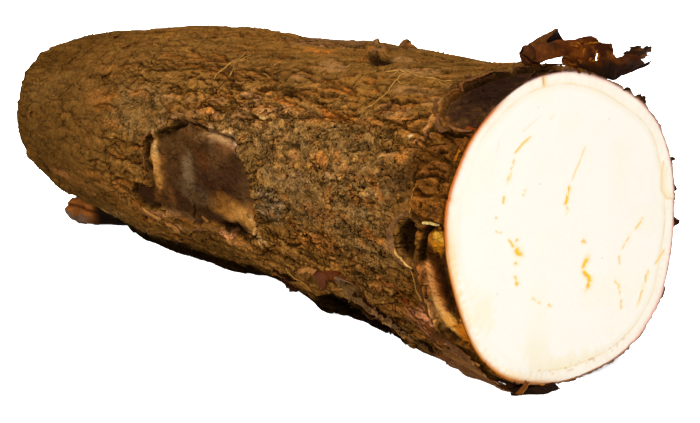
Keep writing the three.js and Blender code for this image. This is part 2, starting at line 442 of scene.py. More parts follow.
def peeled_patch(bark, outline, depth, edge=0.8, rim=0.3, rough=0.12, wave=0.9, seed=0):
    """A bare patch where the outer bark has come off: a step down to a smoother floor with a raised rim."""
    at, x, y = bark.region(outline, 8)
    x = x + wave * (wobble(bark, at, 5.0, 700 + seed) + 0.5 * wobble(bark, at, 1.6, 720 + seed))
    y = y + wave * (wobble(bark, at, 4.0, 740 + seed) + 0.5 * wobble(bark, at, 1.4, 760 + seed))
    gap = polygon_gap(x, y, unrolled(outline))
    inside = smoothstep(gap, 0, edge)
    floor_height = rough * wobble(bark, at, 2.2, 780 + seed)
    floor_height = floor_height + 0.25 * wobble(bark, at, 9.0, 790 + seed) - depth
    lifted = bark.height[at] + rim * np.exp(-np.clip(-gap, 0, 99) / 1.6)
    bark.height[at] = mix(lifted, floor_height, inside)
    for layer in (bark.dark, bark.fresh, bark.tint, bark.granular):
        layer[at] = layer[at] * (1 - inside)
    at_least(bark.peeled, at, inside)
    # Painted shade along the step down into the patch.
    at_least(bark.dark, at, 0.55 * bell(gap - 0.3, 0.5))


def soft_patch(bark, distance, angle, half_length, half_width, seed=0, rough=0.35, size=7.0):
    """1 inside an oval on the bark and 0 outside, with an uneven soft edge; half_width is in degrees."""
    far = np.hypot((bark.far - distance) / half_length, gap_between(bark.turn, angle) / half_width)
    far = far + rough * layered_noise(bark.along, bark.across, size, 1.3, 200 + seed, 2)
    return fading(far, 0.7, 1.15)


def blot(bark, distance, angle, half_length, half_width, colour, strength=1.0, seed=0, size=3.0, rough=0.3):
    """Paints a soft uneven oval; half_length is in millimetres and half_width in degrees."""
    reach = half_width * MM_PER_DEGREE * 1.5 + 1
    at, x, y = bark.region([(distance, angle)], max(half_length * 1.5 + 1, reach))
    far = np.hypot((x - distance) / half_length, (y / MM_PER_DEGREE - angle) / half_width)
    ragged = wobble(bark, at, size, 220 + seed) + 0.7 * wobble(bark, at, size / 2.5, 240 + seed)
    ragged = ragged + 0.5 * wobble(bark, at, size / 5, 250 + seed)
    share = strength * fading(far + rough * ragged, 0.65, 1.05)
    bark.colour[at] = tinted(bark.colour[at], share, colour)


def streak_of(bark, places, width, colour, strength=1.0, seed=0, wave=0.5):
    """Paints an uneven line through places on the bark."""
    at, x, y = bark.region(places, width * 3 + 1)
    x = x + wave * wobble(bark, at, 2.4, 260 + seed)
    y = y + wave * wobble(bark, at, 2.0, 280 + seed)
    gap, place = line_gap(x, y, unrolled(places))
    taper = np.sqrt(span(place, 0, 0.2, 0.8, 1))
    uneven = 0.75 + 0.25 * wobble(bark, at, 1.6, 300 + seed)
    share = strength * taper * uneven * bell(gap, width)
    bark.colour[at] = tinted(bark.colour[at], share, colour)


def paint_marks(bark, marks):
    """Paints a list of marks in turn.

    An oval has distance, angle, half length, half width in degrees, colour, strength, seed, size of its
    noise and roughness of its edge. A line has a list of places, width, colour, strength, seed and wave.
    """
    for mark in marks:
        if isinstance(mark[0], list):
            streak_of(bark, *mark)
        else:
            blot(bark, *mark)


def base_relief(bark):
    """Lumps, plates, grain and grit over the whole root."""
    along, across = bark.along, bark.across
    lumps = layered_noise(along, across, 34.0, 1.5, 11, 2)
    grain = layered_noise(along, across, 5.0, 2.6, 3)
    bent = across + 2.2 * noise(along, across, 11.0, 1.5, 21) + 0.9 * noise(along, across, 4.0, 1.5, 22)
    shifted = along + 2.5 * noise(along, across, 9.0, 1.2, 23)
    gap, chosen, offset = cells(shifted, bent, 5.0, 3.0, 30)
    plates = (0.3 * (chosen - 0.5) + 0.4 * offset) * np.minimum(bark.rough, 1)
    open_edge = smoothstep(noise(along, across, 14.0, 1.4, 33), -0.1, 0.3)
    edge = bell(gap, 0.05) * open_edge * (1 - 0.6 * bark.granular)
    bark.height -= 0.3 * edge
    # Painted shade along the open edges of the plates.
    bark.dark = np.maximum(bark.dark, 0.75 * edge)
    crumb_gap, crumb, crumb_offset = cells(shifted, bent, 1.6, 1.7, 60)
    bark.crumb = crumb
    crumbs = 0.15 * (crumb - 0.5) + 0.17 * crumb_offset - 0.16 * bell(crumb_gap, 0.12)
    ripple = noise(along, bent, 1.7, 7.0, 75) * 0.16 + noise(along, bent, 3.2, 6.0, 76) * 0.2
    grit = noise(along, across, 1.7, 1.5, 71) * 0.09
    bark.height += 0.75 * lumps + 0.22 * grain + plates
    ripple, crumbs = ripple * (1 - 0.7 * bark.granular), crumbs * (0.1 + 0.5 * bark.granular)
    bark.height += bark.rough * (grit + ripple + crumbs)
    pits = smoothstep(noise(along, bent, 1.1, 2.2, 90), 0.5, 0.8) * (0.3 + 0.15 * bark.granular) * bark.rough
    bark.height -= 0.35 * pits
    # Painted shade in the pits.
    bark.dark = np.maximum(bark.dark, 0.8 * pits)


def random_scales(bark):
    """Peeling scales all over, from many small ones to a few long ones."""
    for count, lengths, widths, depths in SCALES:
        for index in range(count):
            distance = rng.uniform(1, ROOT_LENGTH - 4)
            angle = rng.uniform(0, 360)
            length = rng.uniform(*lengths)
            width = rng.uniform(*widths)
            depth = rng.uniform(*depths)
            slant = rng.normal(0, 0.12)
            fresh = rng.choice((0, 0, 0, 0.4, 0.8))
            dark = rng.uniform(0.45, 1.0)
            tint = rng.uniform(-1, 1)
            side = 1 if rng.uniform() < 0.8 else -1
            row = min(np.searchsorted(bark.distance, distance), RINGS - 1)
            grain = bark.granular[row, int(angle * PLACES / 360) % PLACES]
            calm = mix(1.0, 0.45, float(distance > 215)) * mix(1.0, 0.45, grain) * min(bark.rough[row, 0], 1)
            peel_scale(bark, distance, angle, length, width, depth * calm, slant, fresh * calm, dark * calm,
                       index, tint, side)


SHORT_CRACKS, SHORT_CRACK_SEED = 170, 77
# Long cracks, from the upper near side down: places, how open, and how much fresh bark shows below.
LONG_CRACKS = (
    (((27, 130), (31, 128.5), (37, 130), (44, 137)), 1.0, 0.9), (((19, 133), (27, 138)), 0.8, 0.5),
    (((28, 140), (35, 144)), 0.7, 0.0), (((24, 124), (32, 122.5), (39, 125)), 0.7, 0.2),
    (((10, 118), (19, 121), (26, 125)), 0.7, 0.4), (((14, 110), (24, 114), (31, 116)), 0.6, 0.2),
    (((8, 96), (18, 102), (30, 108), (38, 110)), 0.8, 0.3),
    (((3, 86), (14, 92), (27, 98), (40, 101)), 0.8, 0.2), (((20, 88), (34, 92), (52, 96)), 0.7, 0.2),
    (((48, 118), (56, 120), (63, 119)), 0.6, 0.3), (((57, 130), (66, 128), (74, 127)), 0.8, 1.0),
    (((65, 133), (75, 134), (85, 133)), 0.7, 0.6), (((82, 133), (90, 136), (98, 142)), 0.7, 0.4),
    (((88, 125), (95, 124), (101, 128)), 0.7, 0.5),
    (((101, 133), (110, 130), (118, 128), (131, 130)), 0.8, 0.5),
    (((48, 139), (60, 141), (74, 140)), 0.6, 1.0), (((78, 142), (90, 141), (99, 139)), 0.6, 0.9),
    (((104, 143), (111, 142), (117, 145)), 0.7, 0.4), (((106, 152), (113, 150), (119, 153)), 0.7, 0.3),
    (((88, 146), (95, 144.5), (101, 147)), 0.6, 0.3), (((92, 151), (99, 150), (105, 152)), 0.6, 0.3),
    (((139, 146), (144, 144.5), (149, 146)), 0.7, 0.4), (((150, 145), (155, 143.5), (160, 146)), 0.7, 0.3),
    (((122, 152), (130, 150), (138, 153)), 0.7, 0.4), (((165, 150), (174, 148), (184, 151)), 0.6, 0.4),
    (((120, 112), (134, 115), (150, 114)), 0.6, 0.3), (((140, 126), (152, 124), (166, 127)), 0.6, 0.4),
    (((170, 118), (184, 121), (200, 119)), 0.6, 0.2), (((176, 136), (190, 134), (206, 137)), 0.6, 0.3),
    (((150, 100), (166, 103), (182, 102)), 0.6, 0.2), (((196, 104), (214, 107), (230, 105)), 0.6, 0.2),
    (((186, 160), (196, 158), (208, 161)), 0.5, 0.8), (((60, 150), (66, 148), (72, 151)), 0.5, 0.2),
    (((176, 176), (186, 174), (198, 177)), 0.6, 0.2), (((190, 190), (202, 188), (214, 192)), 0.6, 0.3),
    (((134, 220), (146, 218), (160, 222)), 0.7, 0.3), (((88, 206), (96, 208), (106, 215)), 0.7, 0.5),
    (((30, 196), (40, 198), (52, 204)), 0.6, 0.3), (((24, 210), (34, 214), (46, 219)), 0.8, 0.4),
    (((36, 228), (50, 232), (66, 236)), 0.8, 0.2), (((70, 228), (84, 226), (96, 230)), 0.7, 0.4),
    (((100, 232), (116, 229), (132, 232)), 0.7, 0.3), (((200, 215), (214, 213), (230, 216)), 0.6, 0.3),
    (((248, 128), (252, 133), (253.5, 138), (252, 146)), 0.8, 0.5),
    (((64, 214), (56, 215), (46, 218), (37, 227), (27, 240)), 0.6, 0.2),
    (((77.8, 182.6), (77.2, 186.3), (79.5, 189.5), (84, 192.6)), 1.1, 0.0),
    (((86, 204.4), (78.7, 203), (73, 200.4)), 1.0, 0.8), (((63, 197), (59, 193), (54, 188)), 1.0, 0.5),
    (((46.5, 178.8), (41, 181.2), (38.6, 183)), 0.8, 0.4), (((37, 172.5), (34.4, 174.6)), 1.0, 0.2),
    (((50, 165.6), (51.3, 170.5)), 0.9, 0.0), (((29.4, 152.4), (29, 156), (28.2, 161.4)), 1.0, 0.2),
    (((34.2, 162.7), (34.5, 166)), 1.3, 0.0), (((116, 210.3), (111, 215.8), (105.5, 213.8)), 0.9, 0.4),
)

BIG_PATCH = [
    (110, 160), (120, 161), (131, 160), (140, 158.5), (147, 163), (153, 167), (160, 169), (164, 172),
    (163, 186), (162, 193), (174, 195), (177, 202), (175, 207), (160, 206), (150, 208), (140, 209.5),
    (131, 206), (124, 212), (112, 211), (105, 207), (101, 198), (98, 190), (97.5, 180), (101, 172),
    (107, 167),
]
TOP_PATCH = [
    (-3, 94), (5, 97), (9, 106), (13, 113), (16, 121), (17.5, 127), (15.5, 133), (10, 137), (4, 138.5),
    (-3, 138),
]
NEAR_PATCH = [
    (-3, 172.5), (4, 172), (7, 175), (8.4, 182), (9.6, 190), (10.2, 203), (9.6, 214), (5, 219), (-3, 219),
]
POCKET = [(10.6, 173.4), (13.6, 172), (17, 176), (17.8, 181), (16.6, 185.6), (13, 188), (10.8, 187)]
# The peeled patches that face the camera: outline; depth, edge, rim, roughness, unevenness, seed; and the
# cracks round it: places, width, depth, lip, sink, reach, fresh, dark, side, spread, wave, seed.
PATCHES = (
    (BIG_PATCH, (1.0, 0.9, 0.45, 0.12, 0.9, 1), (
        ([(108, 163), (120, 161), (131, 160), (141, 158.5)], 0.6, 1.0, 0.7, 0.2, 2.0, 0.2, 1.0, 1, 2.2, 0.5,
         21),
        ([(141, 159.5), (149, 164), (158, 168)], 0.6, 1.0, 0.7, 0.2, 2.0, 0.2, 1.0, 1, 2.2, 0.5, 21),
        ([(159, 167.5), (163.5, 172), (164, 180), (162.5, 188)], 0.85, 1.5, 0.5, 0.2, 1.6, 0.3, 1.0, 1, 1.6,
         0.5, 22),
        ([(162, 193.5), (174, 194.5), (177.5, 202), (175, 207.5), (162, 207)], 0.45, 0.6, 0.5, 0.1, 1.5,
         0.0, 0.8, 1, 1.2, 0.5, 23),
        ([(99, 196), (104, 206), (112, 211), (117, 208.5), (125, 205.5)], 0.8, 1.3, 0.3, 0.4, 1.8, 0.0, 1.0,
         -1, 1.2, 0.5, 24),
        ([(139, 197), (141, 203), (144, 208)], 0.35, 0.5, 0.2, 0.1, 1.2, 0.0, 0.7, 1, 1.2, 0.5, 25),
        ([(101, 172), (99, 180), (100, 189)], 0.4, 0.4, 0.1, 0.1, 1.2, 0.0, 0.5, -1, 1.2, 0.5, 26),
        ([(76, 180), (78, 187), (84, 192), (97, 197)], 0.4, 0.6, 0.4, 0.3, 1.6, 0.0, 0.8, -1, 1.2, 0.5, 27),
    )),
    (TOP_PATCH, (0.45, 0.7, 0.9, 0.1, 0.6, 2), (
        ([(-2, 93.5), (5, 97), (9, 106), (13, 113), (16, 121), (17.6, 127), (15.8, 133)], 0.75, 1.5, 1.1,
         0.3, 1.5, 0.25, 1.0, 1, 3.2, 0.25, 28),
        ([(-1, 140.4), (5, 140.6), (12, 139)], 0.7, 1.2, 0.5, 0.4, 1.5, 0.0, 1.0, 1, 1.2, 0.2, 29),
    )),
    (NEAR_PATCH, (0.5, 0.7, 0.8, 0.06, 0.4, 3), (
        ([(-2, 172.6), (4, 172.2), (7.2, 175.4), (8.6, 182), (9.6, 189)], 0.7, 1.3, 0.7, 0.3, 1.5, 0.0, 1.2,
         1, 2.4, 0.2, 30),
        ([(9.6, 190), (10.4, 203), (9.8, 214), (7, 219)], 0.4, 0.6, 0.6, 0.2, 1.5, 0.0, 0.8, 1, 1.2, 0.25,
         31),
    )),
)
# Patches on the sides that face away from the camera: outline, depth.
OTHER_PATCHES = (
    ([(46, 14), (60, 10), (76, 15), (80, 26), (66, 32), (50, 29)], 0.8),
    ([(138, 322), (150, 318), (168, 325), (172, 338), (156, 345), (140, 340)], 0.9),
    ([(204, 52), (216, 50), (226, 58), (222, 70), (208, 71), (200, 62)], 0.7),
    ([(236, 292), (250, 288), (262, 298), (258, 310), (242, 308)], 0.7),
    ([(-3, 330), (6, 332), (12, 342), (9, 352), (-3, 354)], 0.5),
    ([(96, 352), (108, 350), (116, 358), (110, 366), (98, 364)], 0.6),
)


# Light, rounded scales of bark above the big patch: place, half length, half width in degrees, rise.
SHINGLES = (
    (105, 144.0, 4.6, 3.0, 0.45), (97, 148.5, 6.0, 3.0, 0.5), (112, 150.6, 6.5, 3.0, 0.45),
    (113.5, 141.8, 3.4, 2.6, 0.4), (124, 154.0, 6.0, 2.2, 0.45), (136, 155.0, 6.5, 2.2, 0.45),
    (147, 158.0, 5.0, 2.4, 0.45), (88.5, 145.6, 5.0, 2.6, 0.4), (126, 147.5, 6.5, 2.2, 0.4),
    (155, 162.5, 4.6, 2.6, 0.4), (100, 155.0, 4.0, 2.4, 0.4),
)


# Flat-topped blocks of thick bark beside the cut: outline, rise, colour.
BLOCKS = (
    ([(-3, 163.2), (6, 162.4), (11.6, 164), (12.8, 167.6), (11, 171.2), (5, 171.6), (-3, 171.6)], 0.5,
     (120, 70, 22)),
    ([(-3, 157.4), (6, 156.8), (13, 158.2), (13.4, 162.6), (6, 161.8), (-3, 162.6)], 0.3, (124, 74, 26)),
    ([(2.4, 151.8), (8, 150.8), (12.6, 153.2), (12.6, 156.2), (7, 155.8), (2.0, 156.4)], 0.2, (104, 60, 22)),
    ([(3.4, 146.4), (7, 144.2), (11, 146.2), (12.0, 149.6), (7, 149.4), (2.8, 150.6)], 0.25, (108, 62, 24)),
    ([(-3, 139.2), (4, 139.4), (6.4, 142.4), (3.4, 145), (-3, 146)], 0.3, (104, 58, 20)),
)
SALMON_RIDGE = [(18.6, 131.8), (16.6, 138), (16.4, 144), (18.6, 148.6), (21.4, 153), (21.8, 157)]


# Hollows and bumps: place, radius, rise.
DENTS = (
    (64, 109, 5, -0.9), (25, 205, 2.6, -0.9), (12, 219, 2.2, -1.0), (80, 101, 3.2, 1.3), (77, 86, 2.6, 1.2),
    (118, 209.4, 5.2, -2.6), (125, 208.8, 3.0, -1.6), (86, 184, 9, 0.7), (98, 87, 8, 0.5),
    (95, 129, 3.5, 0.5), (253, 129, 6, -0.8), (145, 161.5, 3.6, 0.8), (66, 216, 8, 0.8), (74, 103, 3.6, 1.4),
    (68, 109, 3.4, -1.0), (234, 196, 6, 0.6), (277, 123, 10, 1.0), (281, 137, 10, 1.4), (283, 150, 8, 0.9),
    (246, 97, 10, -0.84), (239, 99, 11, -0.84), (250, 96, 10, -0.6), (160, 92, 11, 1.3), (141, 92, 6, 0.8),
    (99, 241, 10, 0.9), (88, 242, 8, 0.7), (18, 243, 7, 1.3), (11, 245, 5, 1.2), (276, 206, 4, 1.3),
    (266, 212.5, 4.5, -1.6), (259, 223, 7, 1.4),
)


def short_cracks(bark):
    """Short open cracks on the near side, which run down towards the cut as they get nearer to it."""
    draw = np.random.default_rng(SHORT_CRACK_SEED)
    for number in range(SHORT_CRACKS):
        distance, angle = draw.uniform(14, 150), draw.uniform(134, 214)
        length, bend = draw.uniform(1.6, 5.5), draw.normal(0, 0.8)
        slope = draw.normal(mix(0.1, 1.1, float(smoothstep(angle, 150, 190)) * float(distance < 80)), 0.4)
        places = [(distance + length * share,
                   angle - slope * length * share + bend * share * (1 - share) * 4) for share in (0, 0.5, 1)]
        open_share = draw.uniform(0.5, 1.0)
        fresh = draw.choice((0, 0.3, 0.8))
        crack(bark, places, 0.3, 0.6 * open_share, 0.4 * open_share, 0.3 * open_share, 1.6, fresh,
              open_share, seed=700 + number)


def shingles(bark):
    for number, (distance, angle, half_length, half_width, rise) in enumerate(SHINGLES):
        at, x, y = bark.region([(distance, angle)], half_length + 4)
        down = (y / MM_PER_DEGREE - angle) / half_width
        far = np.hypot((x - distance) / half_length, down) + 0.4 * wobble(bark, at, 2.6, 440 + number)
        far = far + 0.15 * wobble(bark, at, 1.1, 460 + number)
        inside = fading(far, 0.8, 1.02)
        bark.height[at] += inside * rise * (0.5 + 0.4 * np.clip(down, -1, 1))
        # Painted shade under each scale's lower edge.
        edge = 0.8 * bell(far - 1.08, 0.12) * smoothstep(down, -0.2, 0.6)
        bark.height[at] -= 0.4 * edge
        bark.dark[at] = np.maximum(bark.dark[at] * (1 - 0.7 * inside), edge)
        bark.fresh[at] = bark.fresh[at] * (1 - 0.6 * inside)


def block_gap(bark, outline, number):
    """Slices of the grid round a block of bark, and the distance to its uneven outline, positive inside."""
    at, x, y = bark.region(outline, 5)
    x = x + 0.9 * wobble(bark, at, 2.6, 400 + number)
    y = y + 0.7 * wobble(bark, at, 2.4, 408 + number) + 0.3 * wobble(bark, at, 0.9, 412 + number)
    return at, polygon_gap(x, y, unrolled(outline))


def near_end_relief(bark):
    """The broken bark beside the cut, on the camera's side."""
    zone = soft_patch(bark, 5, 156, 12, 18, 60, 0.25, 4.0)
    bark.height -= 0.2 * zone
    bark.dark = np.maximum(bark.dark, 0.4 * zone)
    for number, (outline, rise, _) in enumerate(BLOCKS):
        at, gap = block_gap(bark, outline, number)
        inside = smoothstep(gap, -0.1, 0.7)
        top = rise + 0.16 * wobble(bark, at, 1.5, 416 + number) + 0.25 * wobble(bark, at, 4.0, 424 + number)
        bark.height[at] = mix(bark.height[at], top, inside)
        # Painted shade in the gap below each block's edge.
        below = bell(gap + 0.25, 0.3) * smoothstep(wobble(bark, at, 3.0, 428 + number), -0.5, 0.2)
        bark.height[at] -= 0.3 * below
        bark.dark[at] = np.maximum(bark.dark[at] * (1 - inside), 0.95 * below)
        bark.fresh[at] = bark.fresh[at] * (1 - inside)
    for places in ([(14.5, 136), (15.5, 142), (14.6, 147)], [(14.6, 152), (14.8, 158), (14, 163)],
                   [(2, 153.6), (6, 153.2), (10, 154.4)], [(4, 147.4), (9, 148)], [(8, 164.4), (9, 168)]):
        crack(bark, places, 0.35, 0.6, 0.2, 0.2, 1.4, 0.0, 0.9, seed=9)
    at, x, y = bark.region(SALMON_RIDGE, 6)
    gap, place = line_gap(x, y, unrolled(SALMON_RIDGE))
    bark.height[at] += 0.7 * bell(gap, 1.9) * smoothstep(place, 0, 0.15) * fading(place, 0.8, 1)


def patches_relief(bark):
    for outline, cut, cracks in PATCHES:
        peeled_patch(bark, outline, *cut)
        for spec in cracks:
            crack(bark, *spec)
    raised = bell(gap_between(bark.turn, 89), 7) * fading(bark.far, 16, 34)
    bark.height += 0.7 * raised
    at, x, y = bark.region(POCKET, 5)
    gap = polygon_gap(x, y, unrolled(POCKET))
    inside = smoothstep(gap, -0.4, 1.4)
    bark.height[at] = mix(bark.height[at], -2.4 + 0.3 * wobble(bark, at, 1.5, 410), inside)
    # Painted shade in the pocket's hole.
    at_least(bark.dark, at, 1.2 * smoothstep(gap, -0.6, 0.6))
    bark.height[at] += 0.4 * bell(gap + 1.5, 1.3)
    for number, (outline, depth) in enumerate(OTHER_PATCHES):
        peeled_patch(bark, outline, depth, 0.9, 0.5, seed=5 + number)
        crack(bark, outline[:4], 0.55, 0.9, 0.6, 0.2, 1.8, 0.2, 1.0, spread=2, seed=40 + number)


def underside_hollow(bark):
    """The shaded hollow below the red flake, where the underside lifts off the floor."""
    at, x, y = bark.region([(40, 226), (90, 252)], 4)
    outline = [(76, 226), (62, 222), (50, 222), (42, 230), (40, 240), (56, 252), (84, 250), (88, 236)]
    gap = polygon_gap(x, y, unrolled(outline))
    inside = smoothstep(gap + 0.8 * wobble(bark, at, 2.4, 412), -0.5, 2.5)
    bark.height[at] -= 1.6 * inside
    at_least(bark.dark, at, 0.9 * inside)


def small_dents(bark):
    """Hollows and bumps that belong to no crack; the deep ones get painted shade."""
    for number, (distance, angle, radius, rise) in enumerate(DENTS):
        at, along, across = bark.window(distance, angle, radius * 2, radius * 2)
        far = np.hypot(along / 1.4, across) / radius + 0.2 * wobble(bark, at, 2.5, 420 + number)
        bark.height[at] += rise * fading(far, 0.3, 1.1)
        if rise < -0.85:
            at_least(bark.dark, at, fading(far, 0.2, 0.8))


def end_scar(bark):
    """The dry, sunken scar on the far end, where the root narrowed to its tail."""
    past = smoothstep(bark.path, bark.path[-1] - 11, bark.path[-1] - 5)[:, None]
    rings = 0.25 * np.cos(bark.along * 1.9 + 1.5 * noise(bark.along, bark.across, 8.0, 1, 430))
    bark.height = mix(bark.height, -0.9 + rings + 0.35 * bark.height, past)
    bark.scar = past + 0 * bark.height


# ---------------------------------------------------------------- the bark's colours
def paint(bark, share, colour):
    bark.colour = tinted(bark.colour, share, colour)


def colour_ground(bark):
    along, across = bark.along, bark.across
    tone = layered_noise(along, across, 18.0, 1.8, 300)
    fleck = layered_noise(along, across, 2.2, 2.4, 310)
    thread = noise(along, across + 1.5 * tone, 1.3, 7.0, 316)
    bark.colour = coloured(along.shape, (110, 73, 29))
    paint(bark, smoothstep(tone, -0.3, 0.5) * 0.6, (96, 64, 27))
    paint(bark, smoothstep(-tone, 0.1, 0.6) * 0.5, (120, 76, 26))
    paint(bark, bark.rough * smoothstep(fleck, 0.05, 0.6) * 0.5, (136, 92, 40))
    paint(bark, bark.rough * smoothstep(-fleck, 0.1, 0.6) * 0.5, (72, 45, 15))
    paint(bark, bark.rough * smoothstep(thread, 0.35, 0.8) * 0.4, (148, 100, 46))
    paint(bark, bark.rough * smoothstep(-thread, 0.35, 0.8) * 0.4, (64, 38, 11))
    paint(bark, bark.granular * 0.6, (113, 83, 43))
    paint(bark, bark.granular * smoothstep(bark.crumb, 0.6, 1.0) * 0.4, (132, 98, 54))
    paint(bark, bark.granular * smoothstep(1 - bark.crumb, 0.55, 1.0) * 0.4, (72, 48, 20))
    paint(bark, np.clip(bark.tint, 0, 1) * 0.5, (142, 92, 38))
    paint(bark, np.clip(-bark.tint, 0, 1) * 0.5, (74, 42, 14))
    near_end = fading(bark.far, 14, 30) * smoothstep(bark.turn, 120, 140)
    paint(bark, near_end * fading(bark.turn, 230, 250) * 0.55, (104, 60, 14))
    far_end = smoothstep(bark.far, 205, 275)
    paint(bark, far_end * 0.35, (92, 60, 20))
    paint(bark, far_end * smoothstep(tone, 0.05, 0.7) * 0.6, (122, 84, 38))
    paint(bark, far_end * smoothstep(-tone, 0.05, 0.7) * 0.6, (62, 39, 13))
    ragged = 5 * layered_noise(along, across, 7.0, 1.5, 340)
    shade_from = mix(244, 236, smoothstep(bark.far, 20, 70)) + 6 * smoothstep(bark.far, 190, 250)
    shade_from = shade_from - 5 * smoothstep(bark.far, 55, 80) * fading(bark.far, 180, 210)
    shaded = smoothstep(bark.turn + ragged, shade_from, shade_from + 9)
    shaded = shaded * fading(bark.turn, 288, 306)
    bark.shaded = shaded * fading(bark.far, 256, 278)


def colour_peeled(bark):
    """The skin under the outer bark: reddish and purplish dark browns."""
    blur = layered_noise(bark.along, bark.across, 8.0, 1.3, 330)
    fine = layered_noise(bark.along, bark.across, 1.8, 1.3, 335)
    colour = coloured(blur.shape, (84, 54, 26),
                      (smoothstep(blur, 0, 0.6), (102, 66, 32)), (smoothstep(-blur, 0, 0.6), (66, 38, 18)),
                      (smoothstep(fine, 0, 0.6) * 0.6, (124, 84, 44)),
                      (smoothstep(-fine, 0, 0.6) * 0.6, (42, 24, 10)))
    bark.colour += bark.peeled[..., None] * (0.72 * colour - bark.colour)


def colour_big_patch(bark):
    paint_marks(bark, (
        (120, 184, 15, 12, (70, 42, 24), 0.8, 1), (146, 188, 12, 14, (84, 52, 26), 0.7, 2),
        (148, 172, 10, 6, (92, 60, 30), 0.6, 3), (134, 171, 6, 4, (78, 42, 20), 0.5, 4),
        (128, 176, 4, 6, (94, 50, 20), 0.6, 5), (120, 173, 7, 4, (110, 72, 36), 0.6, 6),
        (138, 185, 3.6, 7, (120, 92, 60), 0.7, 7, 1.8), (139, 178, 2, 3, (104, 76, 48), 0.6, 71, 1.4),
        (126, 190, 8, 8, (52, 28, 14), 0.7, 72, 2.4), (147, 199, 7, 5, (60, 36, 18), 0.7, 73, 2.0),
        (112, 176, 6, 5, (64, 38, 20), 0.6, 74, 2.0), (137, 196, 5, 4, (106, 76, 44), 0.5, 8),
        (119, 162.8, 9, 1.8, (206, 152, 94), 0.95, 9, 1.6),
        (111.6, 164.5, 2.3, 3.4, (238, 182, 138), 0.95, 10, 1.4),
        (118, 166.5, 8, 2.2, (136, 84, 44), 0.6, 11), (132, 164, 5, 3, (146, 100, 54), 0.7, 12),
        (142, 163, 5, 2.4, (120, 76, 36), 0.5, 13), (158.6, 183, 2.6, 15, (204, 134, 58), 0.95, 14, 1.8),
        (159.6, 177, 1.3, 9, (240, 186, 112), 0.85, 141, 1.2), (154, 182, 2, 11, (124, 76, 34), 0.6, 15),
        (153, 196, 3, 5, (130, 80, 36), 0.6, 16), (115, 197, 11, 5, (166, 106, 42), 0.9, 17, 2.0),
        (107, 199, 6, 7.5, (196, 132, 58), 0.9, 18, 2.0), (105, 196, 3, 5, (230, 168, 96), 0.8, 181, 1.4),
        (117, 201, 4, 2.5, (206, 140, 68), 0.7, 182, 1.4), (102, 194, 3, 5, (176, 108, 46), 0.85, 19),
        (103, 206, 3, 3, (216, 160, 92), 0.85, 20), (139, 181, 4, 8, (136, 106, 72), 0.6, 201, 2.2),
        (131, 193, 4, 5, (116, 88, 58), 0.5, 202, 2.0), (143, 192, 3, 5, (118, 90, 58), 0.5, 203, 2.0),
        (169, 200, 7, 5, (64, 38, 22), 0.85, 21), (162, 200, 2.2, 6, (128, 80, 34), 0.7, 22),
        (130, 203, 7, 2.5, (62, 38, 22), 0.8, 23), (104, 182, 4, 10, (98, 66, 38), 0.5, 24),
        ([(109.5, 162), (116, 162), (124, 161.6), (130, 160.6)], 1.4, (222, 168, 108), 0.95, 251),
        ([(134, 160.4), (140, 159.6), (146, 163)], 0.9, (150, 104, 62), 0.8, 252),
        ([(161, 172), (160.6, 180), (160, 190), (158, 196)], 1.3, (226, 156, 74), 0.9, 253),
        ([(160, 205.5), (150, 207), (141, 208)], 0.9, (150, 102, 60), 0.8, 254),
        ([(112, 208), (104, 204), (101, 198)], 1.3, (222, 162, 92), 0.9, 255),
    ))
    for number, places in enumerate((
            [(157, 172), (148, 178), (143, 188)], [(133, 165), (131, 174), (133, 184)],
            [(119, 168), (117, 178), (119, 190)], [(153, 186), (146, 196), (138, 202)])):
        streak_of(bark, places, 0.5, (36, 20, 9), 0.7, 256 + number, 1.2)
    paint_marks(bark, (
        ([(126, 164), (125, 172), (124, 184)], 1.0, (98, 70, 42), 0.6, 25),
        ([(110, 168), (107, 175), (105, 181)], 0.5, (60, 32, 14), 0.8, 26),
    ))


